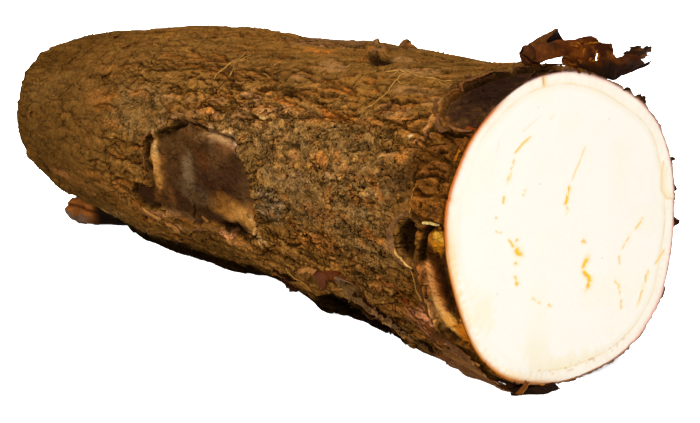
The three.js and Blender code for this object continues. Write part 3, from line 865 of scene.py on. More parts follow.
def colour_near_end(bark):
    paint_marks(bark, (
        (5, 117, 17, 24, (50, 30, 19), 0.85, 30), (6, 119, 9, 12, (38, 22, 14), 0.7, 31),
        (2, 101, 5, 4, (74, 50, 28), 0.6, 32),
        ([(16.2, 131), (17, 127), (15.6, 120.5)], 0.9, (138, 84, 34), 0.9, 33),
        ([(14.6, 133.5), (11, 136.4), (6.5, 137.6)], 0.7, (138, 84, 34), 0.85, 34),
        (1.6, 137.2, 2.6, 0.8, (140, 62, 20), 0.8, 35, 1.4),
        ([(14, 111), (16.5, 119), (18.6, 127)], 0.5, (132, 72, 28), 0.9, 36),
        (4.5, 196, 6.0, 22, (66, 34, 10), 0.95, 39, 1.3), (3.0, 195, 3.8, 13, (40, 20, 6), 0.9, 392, 1.3),
        (2.6, 177.6, 4.4, 4.4, (198, 122, 22), 0.98, 37, 1.2),
        (2.4, 176.2, 2.4, 1.8, (240, 176, 62), 0.8, 371, 0.9),
        (5.6, 178, 1.6, 3.4, (152, 88, 26), 0.7, 372, 0.9), (4.0, 174, 3.5, 1.0, (96, 54, 14), 0.8, 38, 1.0),
    ))
    tan_edge = [(8.4, 186), (8.0, 192), (7.8, 200), (7.2, 207), (6.0, 213)]
    paint_marks(bark, (
        (11.6, 206, 2.6, 9, (168, 104, 58), 0.9, 413, 1.2), (tan_edge, 2.2, (222, 118, 42), 0.98, 41, 0.25),
        (tan_edge, 1.4, (255, 180, 98), 0.9, 411, 0.4),
        ([(8.6, 200), (8.0, 207), (6.0, 214)], 2.4, (246, 180, 96), 0.95, 412, 0.3),
        (4.6, 212, 4.6, 5.0, (246, 170, 74), 0.95, 42, 1.2),
        (1.4, 214, 2.8, 5.0, (210, 118, 26), 0.95, 43, 1.0),
        (SALMON_RIDGE, 1.9, (150, 98, 46), 0.85, 47, 0.9),
        ([(17, 137.5), (16.6, 142), (17.4, 146)], 0.5, (184, 118, 72), 0.7, 48),
        (21.4, 143.2, 0.6, 0.6, (214, 190, 140), 0.9, 49, 1.0, 0.15),
    ))
    for number, (outline, _, tone) in enumerate(BLOCKS):
        at, gap = block_gap(bark, outline, number)
        mottled = linear(*tone) * (1 + 0.35 * wobble(bark, at, 1.3, 432)[..., None])
        share = 0.9 * smoothstep(gap, -0.1, 0.5)[..., None]
        bark.colour[at] += share * (mottled - bark.colour[at])
    paint_marks(bark, (
        (3, 168, 3.5, 2.6, (90, 56, 24), 0.6, 58, 1.4), (1.7, 146, 1.6, 2.4, (70, 42, 18), 0.9, 581, 1.4),
        (18, 160, 4, 8, (62, 40, 20), 0.6, 59, 1.6), (24, 163, 4, 9, (66, 44, 22), 0.5, 591, 1.6),
        (17, 218, 6, 9, (156, 96, 54), 0.8, 50, 2.0),
        ([(23, 211), (19, 215), (17, 220), (15, 228)], 2.4, (228, 148, 94), 0.95, 51),
        ([(17, 208), (14.5, 213), (13, 219), (11.5, 226)], 1.4, (220, 138, 90), 0.95, 52),
        ([(13.2, 196), (13.4, 205), (12, 212)], 0.5, (150, 104, 48), 0.8, 53),
        ([(20.6, 205), (19.4, 209.4), (21.8, 211)], 0.5, (214, 146, 78), 0.8, 531, 0.2),
        (21.6, 207.4, 2.0, 1.8, (120, 50, 16), 0.95, 54, 1.4), (14, 190, 3, 4, (104, 70, 32), 0.6, 55),
        (116, 193, 13, 4.5, (150, 94, 36), 0.7, 551, 2.0), (110, 196, 6, 5, (206, 142, 66), 0.8, 552, 1.8),
        (27, 216, 7, 4, (150, 94, 40), 0.6, 56), (33, 207, 5, 2.5, (160, 96, 40), 0.6, 57),
    ))


def colour_upper_side(bark):
    paint_marks(bark, (
        (99, 90, 32, 4, (112, 80, 48), 0.75, 60), (112, 98, 22, 7, (104, 72, 44), 0.7, 61),
        (80, 96, 10, 6, (72, 44, 22), 0.6, 62),
        ([(92, 108), (101, 110), (111, 109)], 1.2, (168, 96, 34), 0.85, 63),
        (67, 109, 6, 4, (36, 20, 9), 0.85, 64), (74, 103, 3, 3.4, (110, 82, 56), 0.7, 641),
    ))
    for distance, angle, length, width in (
            (36, 134, 8, 4), (22, 128, 5, 3), (42, 112, 12, 4), (36, 124, 9, 3), (95, 129, 5, 3),
            (111, 147, 4, 3), (112, 155, 6, 3), (143, 149, 5, 2.5), (155, 149, 5, 2.5), (84, 120, 10, 4),
            (58, 105, 10, 3)):
        blot(bark, distance, angle, length, width, (140, 98, 54), 0.6, round(distance), 2.4)
    for distance, angle, length, width in (
            (29, 137, 6, 3), (40, 141, 7, 2.5), (72, 131, 8, 2.5), (64, 142, 10, 2), (92, 142, 9, 2),
            (206, 156, 14, 6), (75, 104, 5, 3), (188, 168, 9, 3), (178, 150, 8, 3), (131, 153, 6, 3),
            (212, 200, 10, 4), (60, 160, 5, 3)):
        blot(bark, distance, angle, length, width * 0.8, (154, 94, 38), 0.42, round(distance) + 7, 1.8)
    for index in range(SMALL_BLOTS):
        distance = rng.uniform(20, 100)
        angle = rng.uniform(146, 192)
        size = rng.uniform(0.8, 2.4)
        shade = ((152, 106, 56), (90, 60, 28), (134, 104, 64))[index % 3]
        blot(bark, distance, angle, size * 1.5, size, shade, 0.36, index, 1.6)


def colour_lower_side(bark):
    paint_marks(bark, (
        (86, 185, 10, 8, (96, 74, 42), 0.6, 70), (90, 193, 6, 3, (90, 70, 40), 0.5, 71),
        ([(58, 216), (48, 219), (38, 228), (28, 241)], 2.2, (112, 84, 54), 0.75, 72),
        ([(52, 213), (44, 214), (36, 221)], 0.8, (158, 98, 42), 0.7, 73),
        (36, 221, 9, 4, (132, 84, 38), 0.6, 75), (165, 209.5, 6, 1.8, (170, 110, 72), 0.8, 76, 1.6),
        (156, 216, 4, 3, (172, 116, 70), 0.7, 77, 1.6), (128, 212, 7, 2, (158, 104, 66), 0.7, 78, 1.6),
        (178, 212, 6, 8, (146, 84, 30), 0.6, 79), (190, 205, 9, 8, (128, 82, 36), 0.5, 80),
        (150, 228, 24, 8, (86, 56, 20), 0.6, 81), (232, 211, 16, 7, (140, 90, 40), 0.6, 82),
        (247, 209, 10, 3.4, (172, 108, 54), 0.7, 83),
    ))


def colour_middle(bark):
    """Orange, tan and grey patches on the middle of the near side."""
    at, along, across = bark.window(87, 185, 13, 11)
    bark.dark[at] *= 1 - 0.75 * fading(np.hypot(along / 11, across / 8), 0.6, 1.1)
    blot(bark, 87, 184.5, 9, 6, (112, 85, 54), 0.75, 843, 2.0)
    for distance, angle, length, width, tone in (
            (58, 161, 3.6, 3.6, (140, 84, 32)), (74.5, 162, 2.8, 2.6, (136, 88, 42)),
            (51, 157.6, 2.4, 2.6, (138, 84, 34)), (21.6, 151.6, 2.4, 2.6, (148, 88, 32)),
            (31, 181.5, 3.4, 1.7, (132, 80, 32)), (25.5, 183.4, 1.8, 1.8, (136, 80, 26)),
            (34.5, 167.5, 2.4, 2.6, (140, 98, 44)), (57, 181, 11, 3.6, (124, 78, 36)),
            (61, 195, 12, 5, (128, 76, 30)), (95, 190, 3.6, 3, (112, 88, 56)),
            (84, 188.5, 3.2, 2.6, (112, 88, 56)), (70, 172, 8, 5, (118, 86, 50)),
            (46, 160, 3, 3, (128, 84, 40))):
        blot(bark, distance, angle, length, width, tone, 0.7, round(distance + angle), 1.6)
    for distance, angle in ((46, 164.7), (45.9, 158.6), (41, 156), (83, 168)):
        blot(bark, distance, angle, 0.8, 1.4, (190, 134, 62), 0.8, round(distance), 0.8)


def colour_other_sides(bark):
    for number, (outline, _) in enumerate(OTHER_PATCHES):
        distance = sum(d for d, _ in outline) / len(outline)
        angle = sum(a for _, a in outline) / len(outline)
        blot(bark, distance - 4, angle, 6, 5, (76, 44, 22), 0.7, 90 + number)
        blot(bark, distance + 8, angle + 2, 3, 6, (172, 116, 60), 0.8, 96 + number, 2.0)
        blot(bark, distance, angle - 6, 9, 2.2, (190, 142, 92), 0.7, 102 + number, 2.0)


def blurred(values, reach):
    """Averages a map over a square, reach points to each side."""
    around = sum(np.roll(values, step, 1) for step in range(-reach, reach + 1)) / (2 * reach + 1)
    padded = np.pad(around, ((reach, reach), (0, 0)), "edge")
    return sum(padded[step:step + RINGS] for step in range(2 * reach + 1)) / (2 * reach + 1)


def shade_relief(bark):
    """Paints shade into the hollows and highlight onto what stands out between them."""
    for reach, depth, strength in RELIEF_SHADES:
        stands_out = np.clip((bark.height - blurred(bark.height, reach)) / depth, -1, 1)
        bark.colour *= (1 + strength * np.clip(bark.rough, 0.45, 1.3) * stands_out)[..., None]


def colour_bark(bark):
    colour_ground(bark)
    colour_peeled(bark)
    colour_big_patch(bark)
    colour_near_end(bark)
    colour_upper_side(bark)
    colour_lower_side(bark)
    colour_middle(bark)
    colour_other_sides(bark)
    for number, (distance, angle, half_length, half_width, _) in enumerate(SHINGLES):
        tone = ((140, 98, 58), (150, 100, 54), (126, 86, 48))[number % 3]
        blot(bark, distance, angle, half_length * 0.9, half_width * 0.9, tone, 0.55, 500 + number, 2.0, 0.5)
    paint(bark, bark.scar * 0.6, SCAR_TONE)
    streaky = 0.55 + 0.45 * layered_noise(bark.along, bark.across, 2.0, 4.0, 350, 2)
    paint(bark, np.clip(bark.fresh, 0, 1) * streaky * 0.8 * (1 - 0.6 * bark.peeled), FRESH_TONE)
    lower_near = fading(bark.far, 20, 50) * smoothstep(bark.turn, 190, 205)
    by_cut = fading(bark.far, 14, 24) * smoothstep(bark.turn, 134, 142)
    plain = np.maximum(np.maximum(lower_near, bark.peeled), by_cut)
    gain = mix(mix(GAIN_NEAR, GAIN_FAR, smoothstep(bark.far, 190, 260)), GAIN_PLAIN, plain)
    # Painted light: the lower side is brightened to make up for the light that falls short there.
    gain = gain * (1 + GAIN_LOW * smoothstep(bark.turn, 182, 200) * fading(bark.turn, 232, 244))
    bark.colour *= gain[..., None]
    shade_relief(bark)
    bark.dark *= 1 - 0.3 * bark.granular - 0.4 * (1 - np.clip(bark.rough, 0, 1))
    # Painted shade: the dark mask darkens cracks, pits and hollows, and the shaded band darkens the
    # underside.
    paint(bark, np.clip(1.15 * bark.dark, 0, 1) * 0.92, CRACK_SHADE_TONE)
    paint(bark, bark.shaded * 0.95, SHADOW_TONE)


bark = Bark()
for *place, strength in EARTHY:
    bark.granular = np.maximum(bark.granular, strength * soft_patch(bark, *place))
base_relief(bark)
random_scales(bark)
for number, (places, open_share, fresh) in enumerate(LONG_CRACKS):
    crack(bark, places, 0.36, 0.8 * open_share, 0.5 * open_share, 0.6 * open_share, 3.0, fresh, open_share,
          spread=1.8, seed=number)
short_cracks(bark)
shingles(bark)
near_end_relief(bark)
patches_relief(bark)
underside_hollow(bark)
small_dents(bark)
end_scar(bark)
colour_bark(bark)


# ---------------------------------------------------------------- meshes
def new_object(name, points, quads, triangles=(), colours=None):
    """A mesh from points in millimetres, quads and triangles, with its colour map on the points."""
    mesh = bpy.data.meshes.new(name)
    quads = np.asarray(quads, np.int32).reshape(-1, 4)
    triangles = np.asarray(triangles, np.int32).reshape(-1, 3)
    corners = np.concatenate([quads.ravel(), triangles.ravel()])
    starts = np.concatenate([np.arange(len(quads)) * 4, len(quads) * 4 + np.arange(len(triangles)) * 3])
    mesh.vertices.add(len(points))
    mesh.vertices.foreach_set("co", (np.asarray(points, float) * MM).ravel())
    mesh.loops.add(len(corners))
    mesh.loops.foreach_set("vertex_index", corners.astype(np.int32))
    mesh.polygons.add(len(starts))
    mesh.polygons.foreach_set("loop_start", starts.astype(np.int32))
    mesh.polygons.foreach_set("use_smooth", np.full(len(starts), True))
    mesh.update(calc_edges=True)
    if colours is not None:
        layer = mesh.attributes.new("tone", "FLOAT_COLOR", "POINT")
        layer.data.foreach_set("color", np.asarray(colours, np.float32).ravel())
    piece = bpy.data.objects.new(name, mesh)
    bpy.context.scene.collection.objects.link(piece)
    return piece


def add_piece(name, slot, material, *mesh_parts, replaces=()):
    piece = new_object(name, *mesh_parts)
    piece.data.materials.append(material)
    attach(piece, "root")
    if replaces:
        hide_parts(*replaces)


def thinned(points, faces, tones, triangles):
    """Collapses the flattest parts of an open mesh of triangles, except along its open edges."""
    used, faces = np.unique(faces, return_inverse=True)
    faces = faces.reshape(-1, 3)
    points, tones = points[used], tones[used]
    if len(faces) <= triangles:
        return points, faces, tones
    edges = np.sort(np.concatenate([faces[:, [0, 1]], faces[:, [1, 2]], faces[:, [2, 0]]]), 1)
    edges, counts = np.unique(edges, axis=0, return_counts=True)
    fixed = np.zeros(len(points), bool)
    fixed[edges[counts == 1]] = True
    whole = new_object("whole", points, (), faces, tones)
    group = whole.vertex_groups.new(name="free")
    group.add(np.flatnonzero(~fixed).tolist(), 1.0, "REPLACE")
    decimate = whole.modifiers.new("thin", "DECIMATE")
    decimate.vertex_group = "free"
    decimate.vertex_group_factor = 0
    decimate.ratio = triangles / len(faces)
    graph = bpy.context.evaluated_depsgraph_get()
    mesh = whole.evaluated_get(graph).to_mesh()
    mesh.calc_loop_triangles()
    new_points = np.zeros(len(mesh.vertices) * 3)
    mesh.vertices.foreach_get("co", new_points)
    new_faces = np.zeros(len(mesh.loop_triangles) * 3, np.int32)
    mesh.loop_triangles.foreach_get("vertices", new_faces)
    new_tones = np.zeros(len(mesh.vertices) * 4, np.float32)
    mesh.attributes["tone"].data.foreach_get("color", new_tones)
    source = whole.data
    bpy.data.objects.remove(whole)
    bpy.data.meshes.remove(source)
    return new_points.reshape(-1, 3) / MM, new_faces.reshape(-1, 3), new_tones.reshape(-1, 4)


def joined(parts):
    """Joins meshes that share edges, as one set of points, triangles and tones."""
    counts = np.cumsum([0] + [len(points) for points, _, _ in parts])
    points = np.concatenate([points for points, _, _ in parts])
    faces = np.concatenate([faces + start for (_, faces, _), start in zip(parts, counts)])
    tones = np.concatenate([tones for _, _, tones in parts])
    _, first, which = np.unique(np.round(points, 3), axis=0, return_index=True, return_inverse=True)
    faces = which.reshape(-1)[faces]
    whole = (faces[:, 0] != faces[:, 1]) & (faces[:, 1] != faces[:, 2]) & (faces[:, 2] != faces[:, 0])
    return points[first], faces[whole], tones[first]


def ring_quads(rings, places):
    here = np.arange(rings - 1)[:, None] * places + np.arange(places)[None]
    beside = np.arange(rings - 1)[:, None] * places + (np.arange(places)[None] + 1) % places
    return np.stack([here, here + places, beside + places, beside], -1).reshape(-1, 4)


def closed_rings(rings, start, end):
    """Points, quads and end fans of a closed skin made of rings of points, with one point at each end."""
    count, places = rings.shape[:2]
    points = np.concatenate([rings.reshape(-1, 3), [start], [end]])
    place = np.arange(places)
    following = (place + 1) % places
    last = (count - 1) * places
    fans = [np.stack([np.full(places, count * places), place, following], -1),
            np.stack([np.full(places, count * places + 1), last + following, last + place], -1)]
    return points, ring_quads(count, places), np.concatenate(fans)


def rim_reach(bark):
    """How far below the smooth outline the flesh ends, at each place round the cut."""
    low = np.clip(bark.height[0], LOWEST_AT_CUT, 0)
    smooth = sum(np.roll(low, step) for step in range(-RIM_BLUR, RIM_BLUR + 1)) / (2 * RIM_BLUR + 1)
    return np.minimum(smooth, low + 0.15) - RIND


def rim_colour(angle):
    """The cut edge of the rind: orange on the camera's side, pink on the others."""
    left = span(angle, 118, 140, 236, 262)
    below = span(angle, 236, 262, 286, 312)
    return coloured(angle.shape, (240, 190, 170), (left, (186, 104, 22)), (below, (190, 130, 70)))


def build_bark(bark, material):
    angle = np.radians(bark.turn)
    base = surface(bark.far, angle, bark.dome[:, None])
    before, after = np.roll(base, 1, 1), np.roll(base, -1, 1)
    outward = unit(np.cross(np.gradient(base, axis=0), after - before))
    outward[-1] = (-1, 0, 0)
    bark.height[-1] = bark.height[-1].mean()
    near_cut = fading(bark.far, 0.4, 3.0)
    bark.height = mix(bark.height, np.maximum(bark.height, LOWEST_AT_CUT), near_cut)
    points = settle(base + outward * bark.height[..., None], bark.far)
    points[0, :, 0] = CUT_X
    points[-1] = points[-1].mean(0)
    # Behind the rind at the cut: a recess that the flesh sits in.
    inner = []
    for depth in RECESS_DEPTHS:
        ring = surface(np.zeros(PLACES), angle[0]) + outward[0] * rim_reach(bark)[:, None]
        ring[:, 0] = CUT_X - depth
        inner.append(ring)
    thickness = np.linalg.norm(points[0] - inner[0], axis=-1, keepdims=True)
    skin = mix(inner[0], points[0], np.minimum(SKIN / np.maximum(thickness, 1e-6), 0.7))
    rings = np.concatenate([np.array(inner[::-1]), skin[None], points[:-1]])
    flat, quads, fans = closed_rings(rings, inner[-1].mean(0), points[-1, 0])
    rim = np.repeat(rim_colour(bark.angle)[None], 4, 0)
    rim[3] = mix(rim[3], linear(70, 36, 10), 0.92)
    colours = np.concatenate([rim, bark.colour[:-1]]).reshape(-1, 3)
    colours = np.concatenate([colours, bark.colour[:1, 0], bark.colour[-1:, 0]])
    lively = np.clip(bark.lively * (1 - 0.85 * bark.peeled) - 0.4 * bark.dark, 0, 2)
    lively = np.concatenate([np.zeros((4, PLACES)), lively[:-1]]).reshape(-1)
    lively = np.concatenate([lively, [0], [0]])
    tones = np.concatenate([colours, lively[:, None]], -1)
    middle_far = np.concatenate([np.zeros(4), bark.distance[:-1]]).repeat(PLACES)[quads[:, 0]]
    middle_turn = np.tile(bark.angle, len(rings))[quads[:, 0]]
    seen = (middle_turn > SEEN_ANGLES[0]) & (middle_turn < SEEN_ANGLES[1])
    at_rim = np.arange(len(quads)) < EDGE_RINGS * PLACES
    near = seen & (middle_far < NEAR_LENGTH)
    parts = []
    for chosen, triangles in ((at_rim, len(quads)), (near & ~at_rim, NEAR_TRIANGLES),
                              (seen & ~near & ~at_rim, SEEN_TRIANGLES), (~seen & ~at_rim, BACK_TRIANGLES)):
        faces = np.concatenate([quads[chosen][:, [0, 1, 2]], quads[chosen][:, [0, 2, 3]]])
        parts.append(thinned(flat, faces, tones, triangles))
    parts.append((flat, fans, tones))
    points, faces, tones = joined(parts)
    used, faces = np.unique(faces, return_inverse=True)
    add_piece("cassava_bark", "bark", material, points[used], (), faces.reshape(-1, 3), tones[used],
              replaces=("cassava_root",))


# ---------------------------------------------------------------- the cut face
# Splits and stains in the flesh: points across and above the middle of the cut, half width, strength.
FLESH_STREAKS = (
    (((-12.6, 24.6), (-14.8, 23.3), (-17.3, 21.1)), 0.22, 0.7), (((-17.3, 19.8), (-18.7, 17)), 0.2, 0.7),
    (((-18.6, 16.3), (-19.8, 13.7)), 0.25, 0.8), (((-20.7, 10.8), (-20.6, 9.1)), 0.25, 0.8),
    (((-13.6, 11.8), (-14.5, 10.4)), 0.22, 0.7),
    (((6, 21), (4.7, 18.6), (3.5, 16.4), (1.3, 12.3)), 0.16, 0.5),
    (((0.6, 11.1), (0, 8.7), (-0.5, 6.4)), 0.32, 1.0), (((0, 5.9), (0, 4.1)), 0.25, 0.7),
    (((-23.3, 6), (-23, 5.4)), 0.25, 0.6), (((-23.5, 2.5), (-21, 1.7)), 0.16, 0.5),
    (((-19, 0), (-17.4, -2.4)), 0.25, 0.8), (((-16.3, -0.1), (-16.1, -0.8)), 0.25, 0.8),
    (((-16.4, -2.6), (-15.7, -3.7), (-14.7, -4.8)), 0.5, 1.0), (((-16.9, -6.3), (-15.6, -6.9)), 0.3, 0.8),
    (((-16.9, -9.5), (-15.6, -12.2)), 0.28, 0.8), (((-11.5, -15.9), (-8.1, -17.9)), 0.2, 0.4),
    (((-5.8, -18.5), (-4.4, -19.2)), 0.25, 0.7), (((5.6, -3.2), (6.6, -4.4)), 0.22, 0.7),
    (((8, -7.4), (6, -10.6), (7.3, -12.6), (8.8, -14.3), (7.1, -16.5)), 0.42, 1.0),
    (((26.9, 0.3), (25.6, -1.2), (24.2, -2.6)), 0.22, 0.6), (((22.8, -3.2), (19.4, -7.6)), 0.2, 0.5),
    (((18.6, -8.8), (19.2, -11.2)), 0.22, 0.6), (((17.6, -15), (19.6, -19.3)), 0.22, 0.6),
    (((19.6, -20.9), (19.7, -23.6)), 0.22, 0.6), (((35.2, -9.3), (31.6, -13.2)), 0.22, 0.6),
    (((29.5, -13.9), (27.5, -18.8), (26.9, -20.9), (25.6, -23.9)), 0.24, 0.7),
)
RIM_SPLITS = (((-8.9, 40.2), (-8.6, 36.2)), ((-20.5, 36.1), (-21.7, 34.0)))
CHIP_EDGE = ((33.5, 14.1), (33, 10.5), (33.2, 6.7), (35.2, 4.4), (37.8, 3.9))
FLESH_RINGS = 140
FLESH_PLACES = 660


def build_flesh(bark, material):
    angle = np.arange(FLESH_PLACES) * (2 * math.pi / FLESH_PLACES)
    degrees = np.degrees(angle)
    sunk = np.interp(degrees, np.append(bark.angle, 360), np.append(rim_reach(bark), rim_reach(bark)[0]))
    edge = surface(np.zeros(FLESH_PLACES), angle)
    centre = np.array((CUT_X, CUT_CENTRE_Y, RADII[0]))
    reach = np.linalg.norm(edge[:, 1:] - centre[1:], axis=-1) + sunk - 0.04
    share = (np.arange(FLESH_RINGS + 1) / FLESH_RINGS) ** 0.8
    radius = share[:, None] * reach[None]
    y, z = radius * np.cos(angle), radius * np.sin(angle)
    inset = reach[None] - radius
    relief, colour = flesh_surface(y, z, inset, degrees[None] + 0 * y)
    relief = np.where(share[:, None] >= 1, -0.12, relief)
    front = np.stack([CUT_X - 0.1 + relief, CUT_CENTRE_Y + y, RADII[0] + z], -1)
    sides = [front[-1] * (0, 1, 1) + (CUT_X - depth, 0, 0) for depth in FLESH_DEPTHS]
    rings = np.concatenate([front[1:], np.array(sides)])
    flat, quads, fans = closed_rings(rings, front[0, 0], centre - (FLESH_DEPTHS[-1], 0, 0))
    tones = np.concatenate([colour[1:], colour[-1:], colour[-1:]]).reshape(-1, 3)
    tones = np.concatenate([tones, colour[0, :1], colour[-1, :1]])
    tones = np.concatenate([tones, np.ones((len(tones), 1))], -1)
    add_piece("cassava_flesh", "flesh", material, flat, quads, fans, tones)


def flesh_surface(y, z, inset, degrees):
    """Relief and colour of the cut flesh: pale rim, thin ring, creamy middle with splits."""
    blur = lattice_noise(y / 9, z / 9, 500)
    fine = lattice_noise(y / 1.1, z / 1.1, 501) * 0.6 + lattice_noise(y / 0.5, z / 0.5, 502) * 0.4
    rays = lattice_noise(degrees / 1.3, inset / 2.5, 503)
    left = span(degrees, 122, 148, 250, 275)
    lower = span(degrees, 185, 215, 285, 315)
    colour = coloured(y.shape, (254, 246, 233))

    def stain(share, tint):
        nonlocal colour
        colour = tinted(colour, np.clip(share, 0, 1), tint)

    stain(smoothstep(blur, 0, 0.8) * 0.5, (252, 244, 224))
    cloudy = smoothstep(blur + 0.5 * rays, -0.2, 0.6)
    stain(lower * smoothstep(-inset, -16, -4) * cloudy * 0.6, (250, 236, 200))
    rim_width = 3.2 - 0.8 * bell(gap_between(degrees, 100), 34)
    rim_width = rim_width + 0.3 * lattice_noise(degrees / 20, 0 * inset, 504)
    rim = fading(inset, rim_width - 0.5, rim_width)
    stain(rim * (1 - 0.9 * left), (253, 243, 226))
    stain(rim * smoothstep(rays, 0.1, 0.8) * 0.35, (249, 230, 204))
    uneven = 0.65 + 0.35 * lattice_noise(degrees / 6, inset * 0, 505)
    ring = bell(inset - rim_width - 0.1, 0.32) * uneven
    stain(ring * (1 - 0.92 * left) * 0.9, (240, 216, 164))
    stain(bell(inset - rim_width - 0.9, 0.7) * (1 - 0.6 * left) * 0.3, (244, 228, 196))
    bottom = span(degrees, 240, 262, 296, 312)
    specks = smoothstep(lattice_noise(y / 0.9, z / 0.9, 506), 0.5, 0.8)
    stain(bottom * specks * bell(inset - 3.1, 1.0) * 0.55, (214, 160, 84))
    yellow = bell(degrees - 181, 9) * bell(inset - 1, 2.4)
    stain(yellow * (0.7 + 0.3 * blur), (240, 204, 118))
    stain(left * bell(inset, 1.3) * smoothstep(rays, -0.3, 0.8) * 0.7, (247, 224, 170))
    low_left = span(degrees, 172, 186, 240, 262)
    mealy = smoothstep(fine + 0.5 * rays, -0.5, 0.5)
    stain(low_left * fading(inset, 0.6, 3.4) * mealy * 0.75, (243, 214, 146))
    not_left = fading(degrees, 96, 124)
    pink = not_left * fading(degrees, 40, 60) + smoothstep(degrees, 285, 300)
    pink = pink + span(degrees, 40, 60, 96, 124)
    stain(np.clip(pink, 0, 1) * bell(inset, 0.45) * (0.65 + 0.35 * blur), (244, 204, 186))
    stain(bell(gap_between(degrees, 318), 16) * bell(inset, 0.8) * 0.7, (240, 176, 160))
    upper_left = span(degrees, 118, 130, 176, 190)
    stain(upper_left * bell(inset, 1.1) * 0.7, (240, 172, 84))
    stain(upper_left * bell(inset, 0.6 + 0.3 * smoothstep(degrees, 130, 165)) * 1.25, (198, 100, 6))
    stain(left * (1 - upper_left) * bell(inset, 1.1) * 0.5, (236, 190, 110))
    stain(left * (1 - upper_left) * bell(inset, 0.7) * 1.1, (196, 112, 24))
    relief = 0.03 * fine + 0.05 * blur - 0.06 * ring
    for number, (points, half_width, strength) in enumerate(FLESH_STREAKS):
        bend = 0.35 * lattice_noise(y / 1.3, z / 1.3, 510 + number)
        gap, place = line_gap(y + bend, z + bend * 0.7, points)
        broken = smoothstep(lattice_noise(y / 0.8, z / 1.0, 540 + number), -0.75, -0.1)
        taper = np.sqrt(span(place, -0.02, 0.12, 0.88, 1.02))
        core = bell(gap, 1.35 * half_width) * taper * broken
        stain(bell(gap, half_width * 2.6) * taper * 0.5 * strength, (252, 224, 130))
        stain(core * strength * 1.25, (250, 186, 0))
        relief = relief - 0.25 * strength * core
    for points in RIM_SPLITS:
        gap, place = line_gap(y + 0.2 * fine, z, points)
        core = bell(gap, 0.36 * (1 - 0.5 * place)) * fading(place, 0.8, 1)
        stain(bell(gap, 0.9) * fading(place, 0.7, 1) * 0.6, (240, 196, 110))
        stain(core * 0.95, (216, 138, 30))
        relief = relief - 0.35 * core
    gap, place = line_gap(y, z, CHIP_EDGE)
    stain(bell(gap, 0.3) * 0.9, (232, 200, 140))
    stain(span(gap, 0, 0.4, 1.2, 2.4) * smoothstep(place, 0, 0.2) * 0.5, (246, 226, 184))
    relief = relief - 0.18 * smoothstep(-gap, -0.2, 0.2) * fading(np.abs(gap), 2, 4)
    for spot_y, spot_z in (
            (-22.4, -13.4), (-9.4, 12.6), (24.4, 26.2), (13.4, 26.9), (-10.4, 31.6), (12.6, -8.8)):
        stain(bell(np.hypot(y - spot_y, z - spot_z), 0.18) * 0.6, (196, 140, 80))
    for start, end in (
            ((-15, 26.2), (-9.6, 29.5)), ((-6.3, 28.4), (-4.8, 29.6)), ((-22.6, 24.4), (-23.4, 21.6))):
        gap, place = line_gap(y + 0.2 * fine, z, (start, end))
        stain(bell(gap, 0.22) * (1 - place * 0.5) * 0.5, (240, 214, 164))
    return relief, colour


# ---------------------------------------------------------------- thin sheets of bark
class Sheets:
    """Gathers thin closed sheets of bark into one mesh."""

    def __init__(self):
        self.points, self.quads, self.tones = [], [], []
        self.count = 0

    def add(self, points, thickness, keep, outer, inner, calm=0.6):
        """One sheet on a grid of points, solid where keep is true, with a colour for each side."""
        keep = largest_part(mend_corners(keep))
        if not keep.any():
            return
        normal = unit(np.cross(np.gradient(points, axis=0), np.gradient(points, axis=1)))
        thick = thickness * edge_share(keep)[..., None]
        front = points + normal * thick / 2
        back = points - normal * thick / 2
        rows, columns = points.shape[:2]
        index = np.arange(rows * columns).reshape(rows, columns)
        half = rows * columns
        a, b, c, d = index[:-1, :-1], index[1:, :-1], index[1:, 1:], index[:-1, 1:]
        faces = [np.stack([a, b, c, d], -1)[keep], np.stack([d, c, b, a], -1)[keep] + half]
        padded = np.pad(keep, 1)
        sides = ((a, b, padded[1:-1, :-2]), (b, c, padded[2:, 1:-1]), (c, d, padded[1:-1, 2:]),
                 (d, a, padded[:-2, 1:-1]))
        for start, end, beside in sides:
            wall = np.stack([end, start, start + half, end + half], -1)
            faces.append(wall[keep & ~beside])
        quads = np.concatenate(faces)
        flat = np.concatenate([front.reshape(-1, 3), back.reshape(-1, 3)])
        outer = np.broadcast_to(outer, points.shape).reshape(-1, 3)
        inner = np.broadcast_to(inner, points.shape).reshape(-1, 3)
        tones = np.concatenate([outer, inner])
        tones = np.concatenate([tones, np.full((len(tones), 1), calm)], -1)
        used, quads = np.unique(quads, return_inverse=True)
        self.points.append(flat[used])
        self.tones.append(tones[used])
        self.quads.append(quads.reshape(-1, 4) + self.count)
        self.count += len(used)

    def build(self, name, slot, material, replaces=()):
        points = np.concatenate(self.points)
        points[:, 2] = np.maximum(points[:, 2], CLEAR_OF_FLOOR)
        add_piece(name, slot, material, points, np.concatenate(self.quads), (),
                  np.concatenate(self.tones), replaces=replaces)


def mend_corners(keep):
    """Fills cells so that no two kept cells touch only at a corner."""
    keep = keep.copy()
    for _ in range(4):
        a, b, c, d = keep[:-1, :-1], keep[1:, :-1], keep[:-1, 1:], keep[1:, 1:]
        falling = a & d & ~b & ~c
        rising = b & c & ~a & ~d
        keep[1:, :-1] |= falling
        keep[:-1, :-1] |= rising
    return keep


def grown(mask):
    wide = np.pad(mask, 1)
    return wide[1:-1, 1:-1] | wide[:-2, 1:-1] | wide[2:, 1:-1] | wide[1:-1, :-2] | wide[1:-1, 2:]


def largest_part(keep):
    """The biggest connected part of the kept cells."""
    best = np.zeros_like(keep)
    left = keep.copy()
    while left.any() and left.sum() > best.sum():
        part = np.zeros_like(keep)
        part.ravel()[np.flatnonzero(left)[0]] = True
        size = 0
        while part.sum() > size:
            size = part.sum()
            for _ in range(4):
                part = grown(part) & left
        left &= ~part
        if part.sum() > best.sum():
            best = part
    return best


